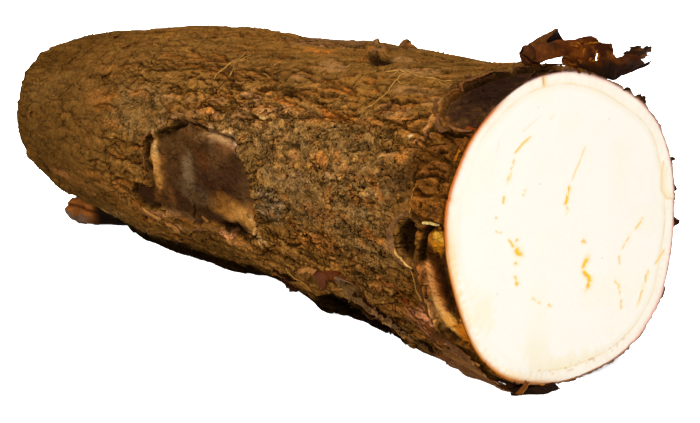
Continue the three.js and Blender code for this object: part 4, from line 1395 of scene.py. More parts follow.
def edge_share(keep):
    """Share of the full thickness at each grid point: thin along every torn edge."""
    points = np.zeros((keep.shape[0] + 1, keep.shape[1] + 1))
    inside = np.pad(keep, 1)
    for share in (0.4, 0.75, 1.0):
        every = inside[:-1, :-1] & inside[1:, :-1] & inside[:-1, 1:] & inside[1:, 1:]
        points = np.where(every, share, np.maximum(points, 0.3 if share == 0.4 else 0))
        hole = ~inside
        inside = ~grown(hole)
    return np.maximum(points, 0.3)


def sheet_grid(rows, columns):
    """Shares from 0 to 1 down the rows of a sheet, and across its columns."""
    return np.linspace(0, 1, rows)[:, None], np.linspace(0, 1, columns)[None]


def within(u, v, torn, edges):
    """Where a sheet is kept: between two limits of u and two of v, each with how far its edge is torn."""
    (u_low, u_tear), (u_high, u_wear), (v_low, v_tear), (v_high, v_wear) = edges
    lengthwise = (u > u_low + u_tear * torn) & (u < u_high + u_wear * torn)
    return lengthwise & (v > v_low + v_tear * torn) & (v < v_high + v_wear * torn)


def cells_of(keep):
    """The cells of a grid whose first and opposite corners are both kept."""
    return keep[:-1, :-1] & keep[1:, 1:]


def lip(sheets, path, reach, lean, curl, outer, inner, seed=0, thickness=0.45, sunk=0.4, ragged=0.3, side=1,
        lift=0.0, blunt=2.6, uneven=0.3, step=0.45):
    """A torn strip of bark along a line of places, standing up by lean degrees and bending by curl degrees.

    It leaves the line to its left, or to its right where side is -1."""
    distances = [distance for distance, _ in path]
    angles = [angle for _, angle in path]
    length = sum(math.dist(a, b) for a, b in zip(unrolled(path), unrolled(path)[1:]))
    rows = max(6, round(length / step)) + 1
    columns = max(4, round(reach / step)) + 1
    u = np.linspace(0, 1, rows)
    distance = curve_through(distances, u)
    angle = curve_through(angles, u)
    base, outward, _, _ = frames_at(distance, np.radians(angle))
    base = base + outward * (bark.height_at(distance, angle) - sunk + lift)[:, None]
    tangent = unit(np.gradient(base, axis=0))
    away = unit(np.cross(outward, tangent)) * side
    v = np.linspace(0, 1, columns)
    steepness = np.radians(lean + curl * v[None] ** 1.2 + 0 * u[:, None])
    width = reach * np.sqrt(np.clip(1 - np.abs(2 * u - 1) ** blunt, 0.02, 1))
    width = width * (1 + uneven * lattice_noise(u * length / 5, 0 * u, 800 + seed))
    along = np.cumsum(np.cos(steepness), 1) / (columns - 1) * width[:, None]
    up = np.cumsum(np.sin(steepness), 1) / (columns - 1) * width[:, None]
    along -= along[:, :1]
    up -= up[:, :1]
    up += 0.14 * lattice_noise(u[:, None] * length / 1.6, v[None] * reach / 1.4, 820 + seed) * v[None]
    points = base[:, None] + away[:, None] * along[..., None] + outward[:, None] * up[..., None]
    torn = lattice_noise(u[:, None] * length / 1.8, v[None] * 0.8, 840 + seed)
    torn = torn + 0.6 * lattice_noise(u[:, None] * length / 0.7, v[None] * 1.5, 860 + seed)
    keep_points = v[None] < 1.02 - ragged * (0.55 + 0.55 * torn)
    keep = cells_of(keep_points)
    shade = lattice_noise(u[:, None] * length / 2.5, v[None] * reach / 1.2, 880 + seed)[..., None]
    outer = linear(*outer) * (1 + 0.25 * shade)
    inner = linear(*inner) * (1 + 0.25 * shade)
    if side < 0:
        points, keep = points[:, ::-1], keep[:, ::-1]
        outer, inner = outer[:, ::-1], inner[:, ::-1]
    sheets.add(points, thickness, keep, outer, inner)


def lips(sheets, strips):
    """Several strips, each with the arguments of lip in their order."""
    for strip in strips:
        lip(sheets, *strip)


def frames_at(distance, angle):
    """Surface points with their outward, lengthwise (away from the cut) and crosswise directions."""
    half_step = 0.5
    half_turn = math.radians(0.5)
    lengthwise = unit(surface(distance + half_step, angle) - surface(distance - half_step, angle))
    crosswise = unit(surface(distance, angle + half_turn) - surface(distance, angle - half_turn))
    outward = np.cross(lengthwise, crosswise)
    return surface(distance, angle), outward, lengthwise, crosswise


# ---------------------------------------------------------------- torn edges and flakes standing on the bark
BARK_OUT, BARK_IN = (122, 80, 38), (112, 62, 28)
DARK_OUT, DARK_IN = (84, 48, 22), (52, 26, 12)


def patch_edges(sheets):
    """The lifted rims of the peeled patches."""
    top_edge = [(-0.5, 93), (5, 96), (9.5, 105), (14, 113), (17, 121), (18.6, 127)]
    lip(sheets, top_edge, 2.4, 26, -30, (104, 64, 32), (70, 32, 14), 1, 0.5, 0.3, 0.25, 1, 0.5)
    corner = [(21.0, 126.4), (18.4, 130.4), (15.8, 134.8)]
    lips(sheets, (
        (corner, 1.6, 44, -30, (98, 62, 32), (90, 56, 26), 2, 0.35, 0.3, 0.1, -1, 0.2, 2.4),
        ([(15.2, 135), (12, 138), (9.0, 139)], 2.2, 24, -22, (100, 64, 34), (84, 52, 22), 3, 0.35, 0.2,
         0.15, -1, 0.5, 1.1),
        ([(9.5, 137.2), (5, 138.3), (0.2, 138.2)], 1.7, 62, -95, (116, 72, 38), (140, 88, 48), 4, 0.4, 0.2,
         0.2, -1, 0.3),
    ))
    crescent = [(13.4, 170.8), (17.2, 174.4), (18.6, 179.4), (18.2, 184), (15.4, 188), (11.6, 189.4)]
    lips(sheets, (
        (crescent, 2.1, 42, -40, (124, 84, 46), (146, 92, 44), 5, 0.3, 0.3, 0.05, -1, 0.6, 1.1, 0.3),
        (crescent[3:], 0.8, 60, 30, (214, 160, 84), (160, 112, 56), 6, 0.25, 0.2, 0.3, -1, 0.8),
        ([(6.8, 171.9), (3.6, 171.3), (0.4, 171.6)], 1.3, 44, 20, (222, 186, 108), (188, 140, 84), 7, 0.3,
         0.1, 0.2, -1, 0.5),
        ([(9.4, 182), (10.6, 190), (11.4, 203), (11, 213)], 1.0, 40, -20, (88, 54, 20), (84, 48, 18), 8,
         0.35, 0.2, 0.25, -1, 0.3),
    ))
    slabs = (([(117, 161.4), (123, 161.7), (129, 160.8)], 1.8, (136, 94, 54), -1),
             ([(131, 160.2), (139, 158.4)], 1.8, (126, 84, 42), -1))
    for number, (path, reach, tone, side) in enumerate(slabs):
        lip(sheets, path, reach, 14, 10, tone, BARK_IN, 10 + number, 0.6, 0.1, 0.15, side, 0.3)
    lips(sheets, (
        ([(160, 166.5), (164.8, 171.5), (165.2, 180), (164, 188)], 2.0, 30, -20, BARK_OUT, BARK_IN, 14, 0.5,
         0.3, 0.2, 1, 0.3),
        ([(162, 209), (172, 210.4), (178, 206)], 1.6, 34, -10, (128, 84, 40), DARK_IN, 15, 0.45, 0.3, 0.25,
         1, 0.2),
    ))


def hanging_flaps(sheets):
    """Bigger loose flaps on the lower near side."""
    long_flap = [(137, 204.5), (130, 208.5), (123.5, 212.5), (117.5, 217), (112, 219.5)]
    lips(sheets, (
        (long_flap, 2.2, 34, -14, (150, 96, 44), (126, 76, 38), 20, 0.45, 0.4, 0.25, -1, 0.3),
        ([(174, 207.2), (168.5, 209.6), (163.5, 211.4)], 1.7, 16, 10, (176, 116, 56), BARK_IN, 21, 0.5, 0.2,
         0.1, -1, 0.5, 5),
        ([(162, 213.2), (158.5, 215.2), (155.5, 217)], 2.6, 14, -8, (170, 112, 52), BARK_IN, 22, 0.6, 0.2,
         0.1, -1, 0.6, 5),
        ([(146, 214.5), (141, 212.4), (136, 211.6)], 1.5, 18, 10, (124, 78, 38), BARK_IN, 23, 0.5, 0.2, 0.2,
         1, 0.3),
        ([(126, 213.3), (120, 215.4), (114.5, 216.4)], 2.4, 30, -30, (178, 116, 56), (140, 84, 46), 24, 0.5,
         0.2, 0.2, -1, 0.3),
    ))
    red_flake = [(74, 213.5), (66, 210.2), (60, 207.6), (54.5, 207)]
    lips(sheets, (
        (red_flake, 5.0, 10, 14, (88, 40, 8), (60, 28, 14), 25, 0.6, 0.4, 0.3, -1, 0.5, 3.0, 0.4),
        ([(54.5, 211.6), (50, 209.8), (44, 210.4)], 4.2, 16, 16, (106, 74, 34), DARK_IN, 251, 0.5, 0.3, 0.2,
         -1, 0.7),
        ([(86, 218), (77, 212.6), (69, 210.6)], 2.6, 44, 30, (164, 108, 52), DARK_IN, 26, 0.5, 0.2, 0.3, -1,
         0.5),
        ([(83, 219), (80, 216), (76, 214)], 3.2, 20, 20, (128, 84, 36), DARK_IN, 261, 0.5, 0.3, 0.25, -1,
         0.3),
        ([(56, 212), (50, 210), (44, 211)], 4.0, 26, 14, (118, 88, 56), BARK_IN, 27, 0.5, 0.3, 0.2, 1, 0.2),
    ))
    ridge = [(58, 215), (50, 216), (43, 221), (35, 229), (26, 241)]
    lips(sheets, (
        (ridge, 5.0, 10, 16, (112, 78, 42), DARK_IN, 271, 0.6, 0.2, 0.1, 1, 0.3, 3.5),
        ([(110, 235), (105, 237.5), (100, 238)], 4.6, 56, 30, (110, 66, 30), DARK_IN, 28, 0.6, 0.4, 0.5),
        ([(56, 228), (48, 232), (40, 234)], 3.2, 34, 12, (96, 58, 26), DARK_IN, 29, 0.5, 0.3, 0.35),
        ([(108, 226), (101, 229), (94, 230)], 2.8, 36, 10, (124, 78, 36), DARK_IN, 30, 0.5, 0.3, 0.35),
        ([(29, 204), (24.5, 203), (20.5, 206)], 2.2, 30, -8, (150, 84, 30), (96, 44, 16), 31, 0.4, 0.2, 0.3,
         1, 0.3),
        ([(15, 214), (12.6, 218.5), (9, 220)], 2.2, 30, -20, (112, 62, 24), (60, 30, 14), 32, 0.4, 0.2, 0.3,
         -1, 0.4),
        ([(16.5, 220.5), (13.4, 218.4), (9.6, 220.4)], 3.4, 40, 16, (92, 54, 22), DARK_IN, 321, 0.6, 0.4,
         0.4, -1, 0.5),
        ([(23, 236.5), (19, 234), (15, 233)], 2.2, 36, 40, (104, 62, 26), DARK_IN, 322, 0.6, 0.4, 0.4, -1,
         0.5),
        ([(8.5, 226), (4.4, 226.4), (0.8, 229)], 1.3, 40, 10, (176, 112, 50), DARK_IN, 323, 0.4, 0.2, 0.2,
         -1, 0.7),
        ([(24, 211), (19.6, 217), (16, 227)], 2.4, 20, 10, (186, 112, 50), (150, 92, 44), 33, 0.5, 0.3, 0.2,
         1, 0.2),
    ))


def cut_fringe(sheets):
    """Broken bark that stands out round the cut, mostly on the side away from the camera."""
    tufts = ((71, 66, 1.8, 72), (63, 55, 2.2, 60), (54, 47, 2.8, 70), (50, 43, 1.4, 50), (31, 27, 1.6, 66),
             (23, 18, 2.2, 60), (14, 8, 2.6, 70), (7, 4, 1.8, 50), (-1, -6, 3.8, 66), (-26, -30, 2.2, 76),
             (-40, -48, 1.8, 60), (-54, -62, 1.2, 50), (84, 76, 1.3, 60), (118, 108, 0.9, 50))
    for number, (start, end, reach, lean) in enumerate(tufts):
        for layer, distance in enumerate((1.0, 3.4)):
            middle = (distance + 1, (start + end) / 2)
            path = [(distance, start + layer * 2), middle, (distance, end - layer)]
            lip(sheets, path, reach * (1 - 0.25 * layer), lean, 14, DARK_OUT, DARK_IN,
                100 + 2 * number + layer, 0.9, 0.5, 0.4, 1 if layer else -1, 0.0, 2.0, 0.5, 0.3)


def skyline_bits(sheets):
    """Little hooks and crumbs that break the root's outline from above."""
    lips(sheets, (
        ([(81.7, 81.6), (81.1, 84.4), (80.1, 87.2)], 3.7, 96, -100, (110, 72, 36), DARK_IN, 130, 1.5, 0.5,
         0.1, 1, 0.0, 5.0, 0.1, 0.3),
        ([(95.5, 86), (93.5, 87), (91.5, 88)], 2.4, 64, 20, (150, 104, 54), DARK_IN, 131, 1.6, 0.5, 0.1, 1,
         0.0, 1.6, 0.1, 0.3),
        ([(4, 90), (1.5, 96), (0.4, 101)], 1.6, 40, 10, (110, 74, 40), DARK_IN, 132, 0.5, 0.3, 0.4),
        ([(22.5, 87.5), (20.5, 88), (18.5, 89)], 1.6, 60, 20, (78, 52, 26), DARK_IN, 135, 1.4, 0.5, 0.2, 1,
         0.0, 2.4, 0.3, 0.3),
        ([(11.5, 91.5), (9, 92), (7, 93)], 1.5, 56, 20, (84, 56, 28), DARK_IN, 136, 1.2, 0.5, 0.3, 1, 0.0,
         2.0, 0.3, 0.3),
        ([(2.5, 104), (1.2, 108)], 1.8, 58, 10, (120, 84, 44), DARK_IN, 133, 0.5, 0.3, 0.4),
    ))


def lower_strip(sheets):
    """The long fibrous layer that comes loose below the cut, on the camera's side."""
    for number, (start, end, first, last, rise, tone) in enumerate((
            (27, -0.6, 237, 250, 1.6, (112, 70, 32)), (20, -0.4, 227, 240, 1.1, (126, 80, 36)),
            (12, -0.8, 221, 231, 1.4, (104, 64, 30)), (24, -0.2, 249, 264, 1.4, (84, 52, 26)))):
        u, v = sheet_grid(64, 34)
        distance = mix(start, end, u) + 0 * v
        angle = mix(first, last, v) + 3.0 * (1 - u) * (v - 0.5) + 0.8 * np.sin(u * 7 + number)
        base, outward, _, _ = frames_at(distance, np.radians(angle))
        fibres = noise_sum(u, v, (0.22, 5, 16, 900 + number), (0.15, 14, 8, 910 + number))
        bow = 0.25 + rise * u ** 1.6 + 0.5 * np.sin(math.pi * v) * u
        height = bark.height_at(np.clip(distance, 0, None), angle) * (1 - u) + bow + fibres
        points = base + outward * height[..., None]
        torn = noise_sum(u, v, (1, 3, 6, 920 + number), (0.7, 9, 14, 930 + number))
        keep = within(u, v, torn, ((0.04, 0.1), (0.985, 0.03), (0.03, 0.05), (0.96, 0.05)))
        shade = 1 + 0.35 * lattice_noise(u * 4, v * 18, 940 + number)[..., None]
        outer = linear(*tone) * shade
        rim = smoothstep(u, 0.955, 0.985)[..., None] + 0 * outer
        outer = mix(outer, linear(202, 148, 90), rim * 0.9)
        sheets.add(points[:, ::-1], 0.45, cells_of(keep)[:, ::-1], outer[:, ::-1], linear(96, 52, 24))


# Small flakes: their lengths, reaches, leans and curls lie between these.
FLAKE_LIMITS = ((2.5, 9), (0.9, 2.2), (12, 38), (-10, 20))


def scattered_flakes(sheets):
    """Many small lifted flakes all over the bark."""
    for index in range(SMALL_FLAKES):
        distance = rng.uniform(16, ROOT_LENGTH - 20)
        angle = rng.uniform(0, 360)
        length, reach, lean, curl = (rng.uniform(*limits) for limits in FLAKE_LIMITS)
        slant = rng.normal(0, 0.15) * length / MM_PER_DEGREE
        row = min(np.searchsorted(bark.distance, distance), RINGS - 1)
        column = int(angle * PLACES / 360) % PLACES
        bare = bark.peeled[row, column] > 0.1
        if bare or (distance < 30 and 120 < angle < 235):
            continue
        path = [(distance - length / 2, angle - slant), (distance, angle + 0.6),
                (distance + length / 2, angle + slant)]
        tone = np.clip(bark.colour[row, column] * rng.uniform(0.9, 1.5), 0, 0.4)
        tone = 255 * np.where(tone <= 0.0031308, tone * 12.92, 1.055 * tone ** (1 / 2.4) - 0.055)
        tone = np.maximum(tone, (84, 52, 24))
        side = 1 if rng.uniform() < 0.75 else -1
        lip(sheets, path, reach, lean, curl, tone, (96, 54, 24), 200 + index, 0.4, 0.35, 0.3, side, 0.0,
            2.6, 0.3, 0.55)


def icosahedron():
    golden = (1 + 5 ** 0.5) / 2
    points = []
    for a in (-1, 1):
        for b in (-golden, golden):
            points += [(0, a, b), (a, b, 0), (b, 0, a)]
    points = unit(np.array(points))
    near = np.linalg.norm(points[:, None] - points[None], axis=-1)
    touching = (near > 0.1) & (near < 1.2)
    faces = []
    for a in range(12):
        for b in range(a + 1, 12):
            for c in range(b + 1, 12):
                if touching[a, b] and touching[b, c] and touching[a, c]:
                    outward = np.dot(np.cross(points[b] - points[a], points[c] - points[a]), points[a]) > 0
                    faces.append((a, b, c) if outward else (a, c, b))
    return points, np.array(faces)


def build_crumbs(name, count, share_of, sizes, material):
    """Grains of dry soil and bark held on the surface, thickest where share_of is high."""
    row_share = share_of.sum(1)
    rows = rng.choice(RINGS, count, p=row_share / row_share.sum())
    running = share_of.cumsum(1)
    columns = np.array([np.searchsorted(running[row], rng.uniform(0, running[row, -1])) for row in rows])
    columns = np.minimum(columns, PLACES - 1)
    step = bark.path[1] - bark.path[0]
    distance = bark.distance[rows] + rng.uniform(-0.5, 0.5, count) * step
    distance = np.clip(distance, 0.8, ROOT_LENGTH - 8)
    angle = bark.angle[columns] + rng.uniform(-0.5, 0.5, count) * 360 / PLACES
    base, outward, _, _ = frames_at(distance, np.radians(angle))
    size = mix(*sizes, rng.uniform(0, 1, count) ** 2.5)
    centre = base + outward * (bark.height_at(distance, angle) + 0.25 * size)[:, None]
    ball, faces = icosahedron()
    jitter = 1 + rng.uniform(-0.28, 0.28, (count, 12, 1))
    flat = rng.uniform(0.7, 1.25, (count, 1, 3))
    spin = unit(rng.normal(size=(count, 4)))
    w, x, y, z = spin.T
    turned = np.stack([1 - 2 * (y * y + z * z), 2 * (x * y - z * w), 2 * (x * z + y * w),
                       2 * (x * y + z * w), 1 - 2 * (x * x + z * z), 2 * (y * z - x * w),
                       2 * (x * z - y * w), 2 * (y * z + x * w), 1 - 2 * (x * x + y * y)], -1)
    turned = turned.reshape(-1, 3, 3)
    shape = np.einsum("nij,nkj->nki", turned, ball[None] * flat) * jitter
    points = centre[:, None] + shape * size[:, None, None]
    points[..., 2] = np.maximum(points[..., 2], CLEAR_OF_FLOOR)
    tone = bark.colour[rows, columns] * rng.uniform(0.6, 1.4, (count, 1))
    pale = rng.uniform(size=(count, 1)) < 0.05
    tone = np.where(pale, mix(tone, linear(160, 118, 66), 0.5), tone)
    tones = np.repeat(np.concatenate([tone, np.ones((count, 1))], -1), 12, 0)
    triangles = (faces[None] + 12 * np.arange(count)[:, None, None]).reshape(-1, 3)
    add_piece(name, "bark", material, points.reshape(-1, 3), (), triangles, tones)


# ---------------------------------------------------------------- loose bark
def at_cut(x, y, z):
    """A point from its place in front of the cut, across from the middle of the cut, and above the floor."""
    return np.stack(np.broadcast_arrays(CUT_X + x, CUT_CENTRE_Y + y, z), -1)


def stations(table, share, column):
    """Smooth values down one column of a table whose first column is the place along the piece."""
    table = np.asarray(table, float)
    return np.interp(share, table[:, 0], table[:, column])


# The peeled scroll across the top of the cut: place across, height of its top, radius of its roll, how far
# the roll goes round (degrees past the front), and height where its skirt meets the root.
SCROLL = (
    (-12.9, 85.2, 0.25, 335, 84.8), (-12.6, 85.9, 1.0, 335, 84.4), (-11.9, 86.4, 1.7, 335, 83.6),
    (-10.8, 86.4, 2.4, 330, 83.0), (-9.2, 86.3, 2.75, 320, 82.3), (-7.6, 86.5, 2.7, 300, 81.9),
    (-4, 86.8, 2.5, 280, 82.0), (0, 87.0, 2.4, 250, 81.0), (2.6, 87.1, 2.7, 215, 79.8),
    (5.2, 87.2, 3.0, 190, 79.2), (8.8, 87.5, 3.2, 175, 78.3), (11.0, 87.7, 3.4, 165, 77.7),
    (15.7, 86.6, 3.2, 140, 76.4), (17.4, 85.4, 3.0, 125, 76.4), (19.4, 85.0, 2.8, 115, 77.2),
    (23.4, 84.4, 2.4, 105, 77.8), (28.4, 83.0, 1.8, 95, 78.8), (31.6, 81.6, 0.9, 90, 79.5),
)
# The torn upper edge of the scroll's right part: place across, and height.
SCROLL_TOP = (
    (-20, 99), (11.0, 99), (11.2, 86.0), (15.4, 85.7), (15.6, 83.3), (16.8, 82.1), (18.2, 82.3),
    (19.2, 82.9), (21.6, 82.7), (24.7, 82.3), (25.9, 81.4), (28.4, 79.9), (30.6, 80.3), (31.7, 79.8),
)


# The roll starts this many degrees past its front, this far behind the cut, and the skirt below it takes up
# this share of the sheet.
ROLL_START = -25
SCROLL_BEHIND = 4.4
SKIRT_SHARE = 0.3


def build_scroll(material):
    rows, columns = 200, 110
    across = np.linspace(SCROLL[0][0], SCROLL[-1][0], rows)[:, None]
    v = np.linspace(0, 1, columns)[None]
    top = stations(SCROLL, across, 1)
    radius = stations(SCROLL, across, 2)
    sweep = stations(SCROLL, across, 3)
    foot = stations(SCROLL, across, 4)
    on_roll = np.clip((v - SKIRT_SHARE) / (1 - SKIRT_SHARE), 0, 1)
    turn = np.radians(ROLL_START + (sweep - ROLL_START) * on_roll)
    wound = radius * (1 - 0.22 * on_roll)
    middle_z = top - radius
    roll_x = wound * np.cos(turn)
    roll_z = middle_z + wound * np.sin(turn)
    down = np.clip(1 - v / SKIRT_SHARE, 0, 1)
    start = math.radians(ROLL_START)
    start_x, start_z = radius * math.cos(start), middle_z + radius * math.sin(start)
    skirt_x = start_x - 0.3 * down - 0.5 * np.sin(math.pi * down)
    skirt_z = mix(start_z, foot, down)
    x = np.where(v < SKIRT_SHARE, skirt_x, roll_x) - SCROLL_BEHIND
    z = np.where(v < SKIRT_SHARE, skirt_z, roll_z)
    wrinkle = sum(weight * lattice_noise(across / size, v * count, seed) for weight, size, count, seed in (
        (0.22, 2.6, 7, 950), (0.12, 1.1, 16, 951), (0.35, 7, 3, 952)))
    ring_step = 0.45 * smoothstep(across, -10.5, -10.1) * fading(across, -9.9, -6)
    x = x + (wrinkle - ring_step) * np.cos(turn)
    z = z + (wrinkle - ring_step) * np.sin(turn) * (v > SKIRT_SHARE)
    y = across + 0.5 * np.sin(turn * 0.9) * fading(across, -8, 2)
    y = y + 0.35 * lattice_noise(across / 2, v * 4, 953)
    points = at_cut(x, y, z)
    jag = 0.6 * lattice_noise(across / 1.6, 0 * across, 954)
    jag = jag + 0.4 * lattice_noise(across / 0.7, 0 * across, 955)
    keep = np.ones((rows, columns), bool)
    tube_only = across + 0.4 * lattice_noise(v * 9, 0 * v, 956) < -0.6
    keep &= ~(tube_only & (v < SKIRT_SHARE * (0.85 + 0.1 * jag)))
    keep &= v < 0.985 - 0.03 * jag
    torn_top = stations(SCROLL_TOP, across, 1) + 0.25 * jag
    keep &= z < torn_top
    slit = (np.abs(across - 10.2 + 1.6 * (v - 0.28)) < 0.09) & (v > 0.235) & (v < 0.335)
    hole = np.hypot((across - 5.9) / 0.32, (v - 0.52) / 0.011) < 1
    keep &= ~(slit | hole)
    keep &= (across > -12.86 + 0.1 * lattice_noise(v * 12, 0 * v, 957))
    cells_kept = cells_of(keep) & keep[1:, :-1] & keep[:-1, 1:]
    tone = lattice_noise(across / 4, v * 6, 960)
    fine = lattice_noise(across / 1.2, v * 18, 961)
    tube = fading(across, -6, 2) + 0 * v
    # Painted shade along the edge of the tighter rolled end.
    seam_shade = bell(across + 10.2 - 0.3 * np.sin(v * 9), 0.4) * (v > SKIRT_SHARE)
    outer = coloured((rows, columns), (80, 36, 7),
                     (smoothstep(tone, 0, 0.6), (108, 53, 11)), (smoothstep(-tone, 0, 0.6), (52, 21, 5)),
                     (smoothstep(fine, 0.2, 0.9) * 0.4, (124, 70, 22)),
                     (smoothstep(-fine, 0.2, 0.8) * 0.5, (44, 18, 5)),
                     (tube * 0.5, (76, 42, 18)), (seam_shade * 0.95, (28, 12, 4)))
    for places in (
            ((4.6, 0.56), (6.0, 0.53), (6.2, 0.44), (5.6, 0.33), (6.0, 0.24), (5.4, 0.16)),
            ((6.4, 0.52), (8.4, 0.5), (10.4, 0.49), (11.6, 0.52)), ((2.4, 0.47), (4.4, 0.45), (6.0, 0.45)),
            ((-0.6, 0.3), (2.0, 0.27), (5.0, 0.22)), ((6.4, 0.27), (9.2, 0.22), (13, 0.26)),
            ((10.2, 0.38), (10.6, 0.3), (11.2, 0.24)), ((0.4, 0.14), (2.4, 0.1), (4.4, 0.12))):
        places = [(a - 0.6, b * 22) for a, b in places]
        gap, _ = line_gap(across + 0.5 * fine + 0.3 * tone, v * 22 + 0.6 * tone + 0.4 * fine, places)
        width = 0.16 + 0.16 * smoothstep(lattice_noise(across / 0.9, v * 24, 962), -0.4, 0.6)
        broken = smoothstep(lattice_noise(across / 1.4, v * 15, 963), -0.5, 0.3)
        outer = tinted(outer, bell(gap / width, 1) * 0.7 * broken, (206, 124, 24))
    low = fading(v + 0.03 * tone, 0.1, 0.27) * smoothstep(across, 0, 6)
    right = smoothstep(across, 14, 20) + 0 * v
    corner = smoothstep(across, 9.5, 12.5) * fading(v + 0.03 * tone, 0.2, 0.36)
    for share, shadow in ((low * 0.92, (20, 8, 2)), (right * 0.7, (50, 23, 6)), (corner * 0.9, (18, 7, 2))):
        outer = tinted(outer, share, shadow)
    inner = linear(58, 26, 10) * (1 + 0.3 * tone[..., None])
    sheets = Sheets()
    sheets.add(points, 0.5, cells_kept, outer, inner, 0.5)
    build_torn_flap(sheets)
    sheets.build("peeled_scroll", "loose_bark", material, ("bark_scroll",))


def build_torn_flap(sheets):
    """The ragged dark flap that stands behind the scroll's pointed end."""
    u, v = sheet_grid(48, 30)
    y = mix(24.8, 35.6, u) - 2.2 * (1 - v) * (1 - u)
    rough = noise_sum(u, v, (0.25, 7, 5, 970), (0.12, 18, 12, 971))
    z = mix(80.6, 84.3, v) - 0.6 * (u - 0.4) ** 2 + 0.3 * rough
    x = -7.4 + 1.4 * np.sin(u * 3.6) + 0.8 * v + rough
    torn = noise_sum(u, v, (1, 6, 4, 972), (0.7, 14, 9, 973))
    keep = u > 0.04 + 0.07 * torn + 0.45 * (0.5 - v).clip(0, 1)
    keep &= u < 0.95 + 0.05 * torn - 0.35 * (0.35 - v).clip(0, 1)
    keep &= (v < 0.9 + 0.13 * torn) & (v > 0.1 + 0.1 * torn)
    keep &= np.hypot((u - 0.83) / 0.05, (v - 0.36) / 0.09) > 1
    shade = lattice_noise(u * 5, v * 4, 974)
    outer = coloured(shade.shape, (44, 26, 11), (smoothstep(shade, 0.1, 0.7) * 0.7, (112, 62, 20)))
    cells_kept = cells_of(keep) & keep[1:, :-1] & keep[:-1, 1:]
    sheets.add(at_cut(x, y, z), 0.5, cells_kept, outer, linear(40, 22, 10))


def build_roll(material):
    """The small cone-shaped roll behind the scroll."""
    u, v = sheet_grid(60, 64)
    turn = np.radians(-120 + 400 * v)
    radius = mix(0.9, 3.7, u ** 0.8) * (1 - 0.12 * v)
    centre = np.stack(np.broadcast_arrays(-9.6 - 0.6 * u, mix(-5.6, 9.4, u), mix(84.9, 86.9, u)), -1)
    axis = unit(np.array((-0.6, 11.0, 2.0)))
    side = unit(np.cross(axis, (0, 0, 1)))
    rise = np.cross(side, axis)
    rough = 1 + noise_sum(u, v, (0.06, 5, 7, 980), (0.05, 12, 16, 981))
    circle = (radius * rough)[..., None] * (np.cos(turn)[..., None] * side + np.sin(turn)[..., None] * rise)
    lean_back = -2.3 * u * np.sin(turn)
    points = at_cut(*np.moveaxis(centre + circle, -1, 0))
    points = points + (lean_back - 0.4 * u)[..., None] * axis * 0.9
    torn = lattice_noise(v * 9, 0 * v, 982) + 0.5 * lattice_noise(v * 21, 0 * v, 983)
    degrees = gap_between(np.degrees(turn), 0)
    opening = mix(0.36, 0.98, smoothstep(degrees, 30, 112)) + 0.04 * torn
    keep = (u < 0.95 + 0.06 * torn) & (u > 0.02) & (v < 1)
    keep &= ~((u > opening) & (degrees > -80) & (degrees < 112))
    shade = lattice_noise(u * 6, v * 5, 984)
    outer = linear(88, 50, 18) * (1 + 0.3 * shade[..., None])
    inner = linear(26, 8, 2) * (1 + 0.4 * shade[..., None])
    sheets = Sheets()
    sheets.add(points, 0.45, cells_of(keep), outer, inner)
    sheets.build("peeled_roll", "loose_bark", material, ("bark_roll",))


def build_top_flake(material):
    """A short flake behind the scroll."""
    sheets = Sheets()
    lips(sheets, (
        ([(16, 70), (13.4, 66), (10.6, 62)], 6.0, 34, 24, (96, 58, 28), (60, 32, 16), 140, 0.5, 0.5, 0.3,
         -1, 0.0, 2.6, 0.3, 0.35),
        ([(12, 74), (10, 70), (9, 66)], 3.6, 50, 20, (110, 66, 30), (60, 32, 16), 141, 0.5, 0.5, 0.4, 1,
         0.0, 2.6, 0.3, 0.35),
    ))
    sheets.build("torn_flake", "loose_bark", material, ("bark_flake_top",))


def build_bottom_curl(material):
    """The strip of bark between the floor and the bottom of the cut, near black as painted shade, with a
    small curled tongue.
    """
    sheets = Sheets()
    u, v = sheet_grid(96, 30)
    y = mix(-19.4, -3.6, u) + 1.6 * v * (1 - u)
    near_x = np.interp(y, (-19.4, -18.6, -13.8, -10.8, -3.9), (-2.2, 1.4, 2.9, 5.0, 4.0))
    rough = noise_sum(u, v, (0.18, 12, 5, 990), (0.1, 30, 11, 991))
    x = mix(near_x, mix(-1.6, 0.5, smoothstep(u, 0.1, 0.5)), v) + rough
    z = 0.35 + mix(1.2, 1.0, smoothstep(u, 0.1, 0.5)) * v ** 1.7 + 0.5 * rough
    torn = lattice_noise(u * 14, 0 * v, 992) + 0.5 * lattice_noise(u * 33, v * 2, 993)
    keep = within(u, v, torn, ((0.03, 0.02), (0.98, 0.02), (0.05, 0.05), (0.97, 0.05)))
    shade = 1 + 0.3 * lattice_noise(u * 10, v * 4, 994)[..., None]
    # Near black as painted shade: the strip lies in the root's shadow.
    outer = linear(34, 19, 10) * shade
    top_edge = smoothstep(v + 0.08 * torn, 0.86, 0.97)[..., None] * smoothstep(u, 0.3, 0.45)[..., None]
    outer = mix(outer, linear(196, 116, 42), top_edge)
    sheets.add(at_cut(x, y, z), 0.45, cells_of(keep), outer, linear(40, 22, 12) * shade)
    u, v = sheet_grid(30, 14)
    v = 2 * v - 1
    x = 2.0 + 0.6 * np.sin(math.pi * u) - 1.3 * u + 0.7 * v
    y = mix(-16.6, -12.6, u) + 0.5 * v * (1 - u)
    z = 0.5 + 2.3 * np.sin(1.5 * u) + 0.35 * v ** 2 + 0.12 * lattice_noise(u * 6, v * 2, 995)
    pale = smoothstep(np.abs(v) + 0 * u, 0.5, 0.9)[..., None]
    tongue = mix(linear(126, 66, 18), linear(226, 162, 84), pale)
    sheets.add(at_cut(x, y, z), 0.4, np.ones((29, 13), bool), tongue, linear(110, 60, 20))
    sheets.build("curled_strip", "loose_bark", material, ("bark_curl_bottom",))


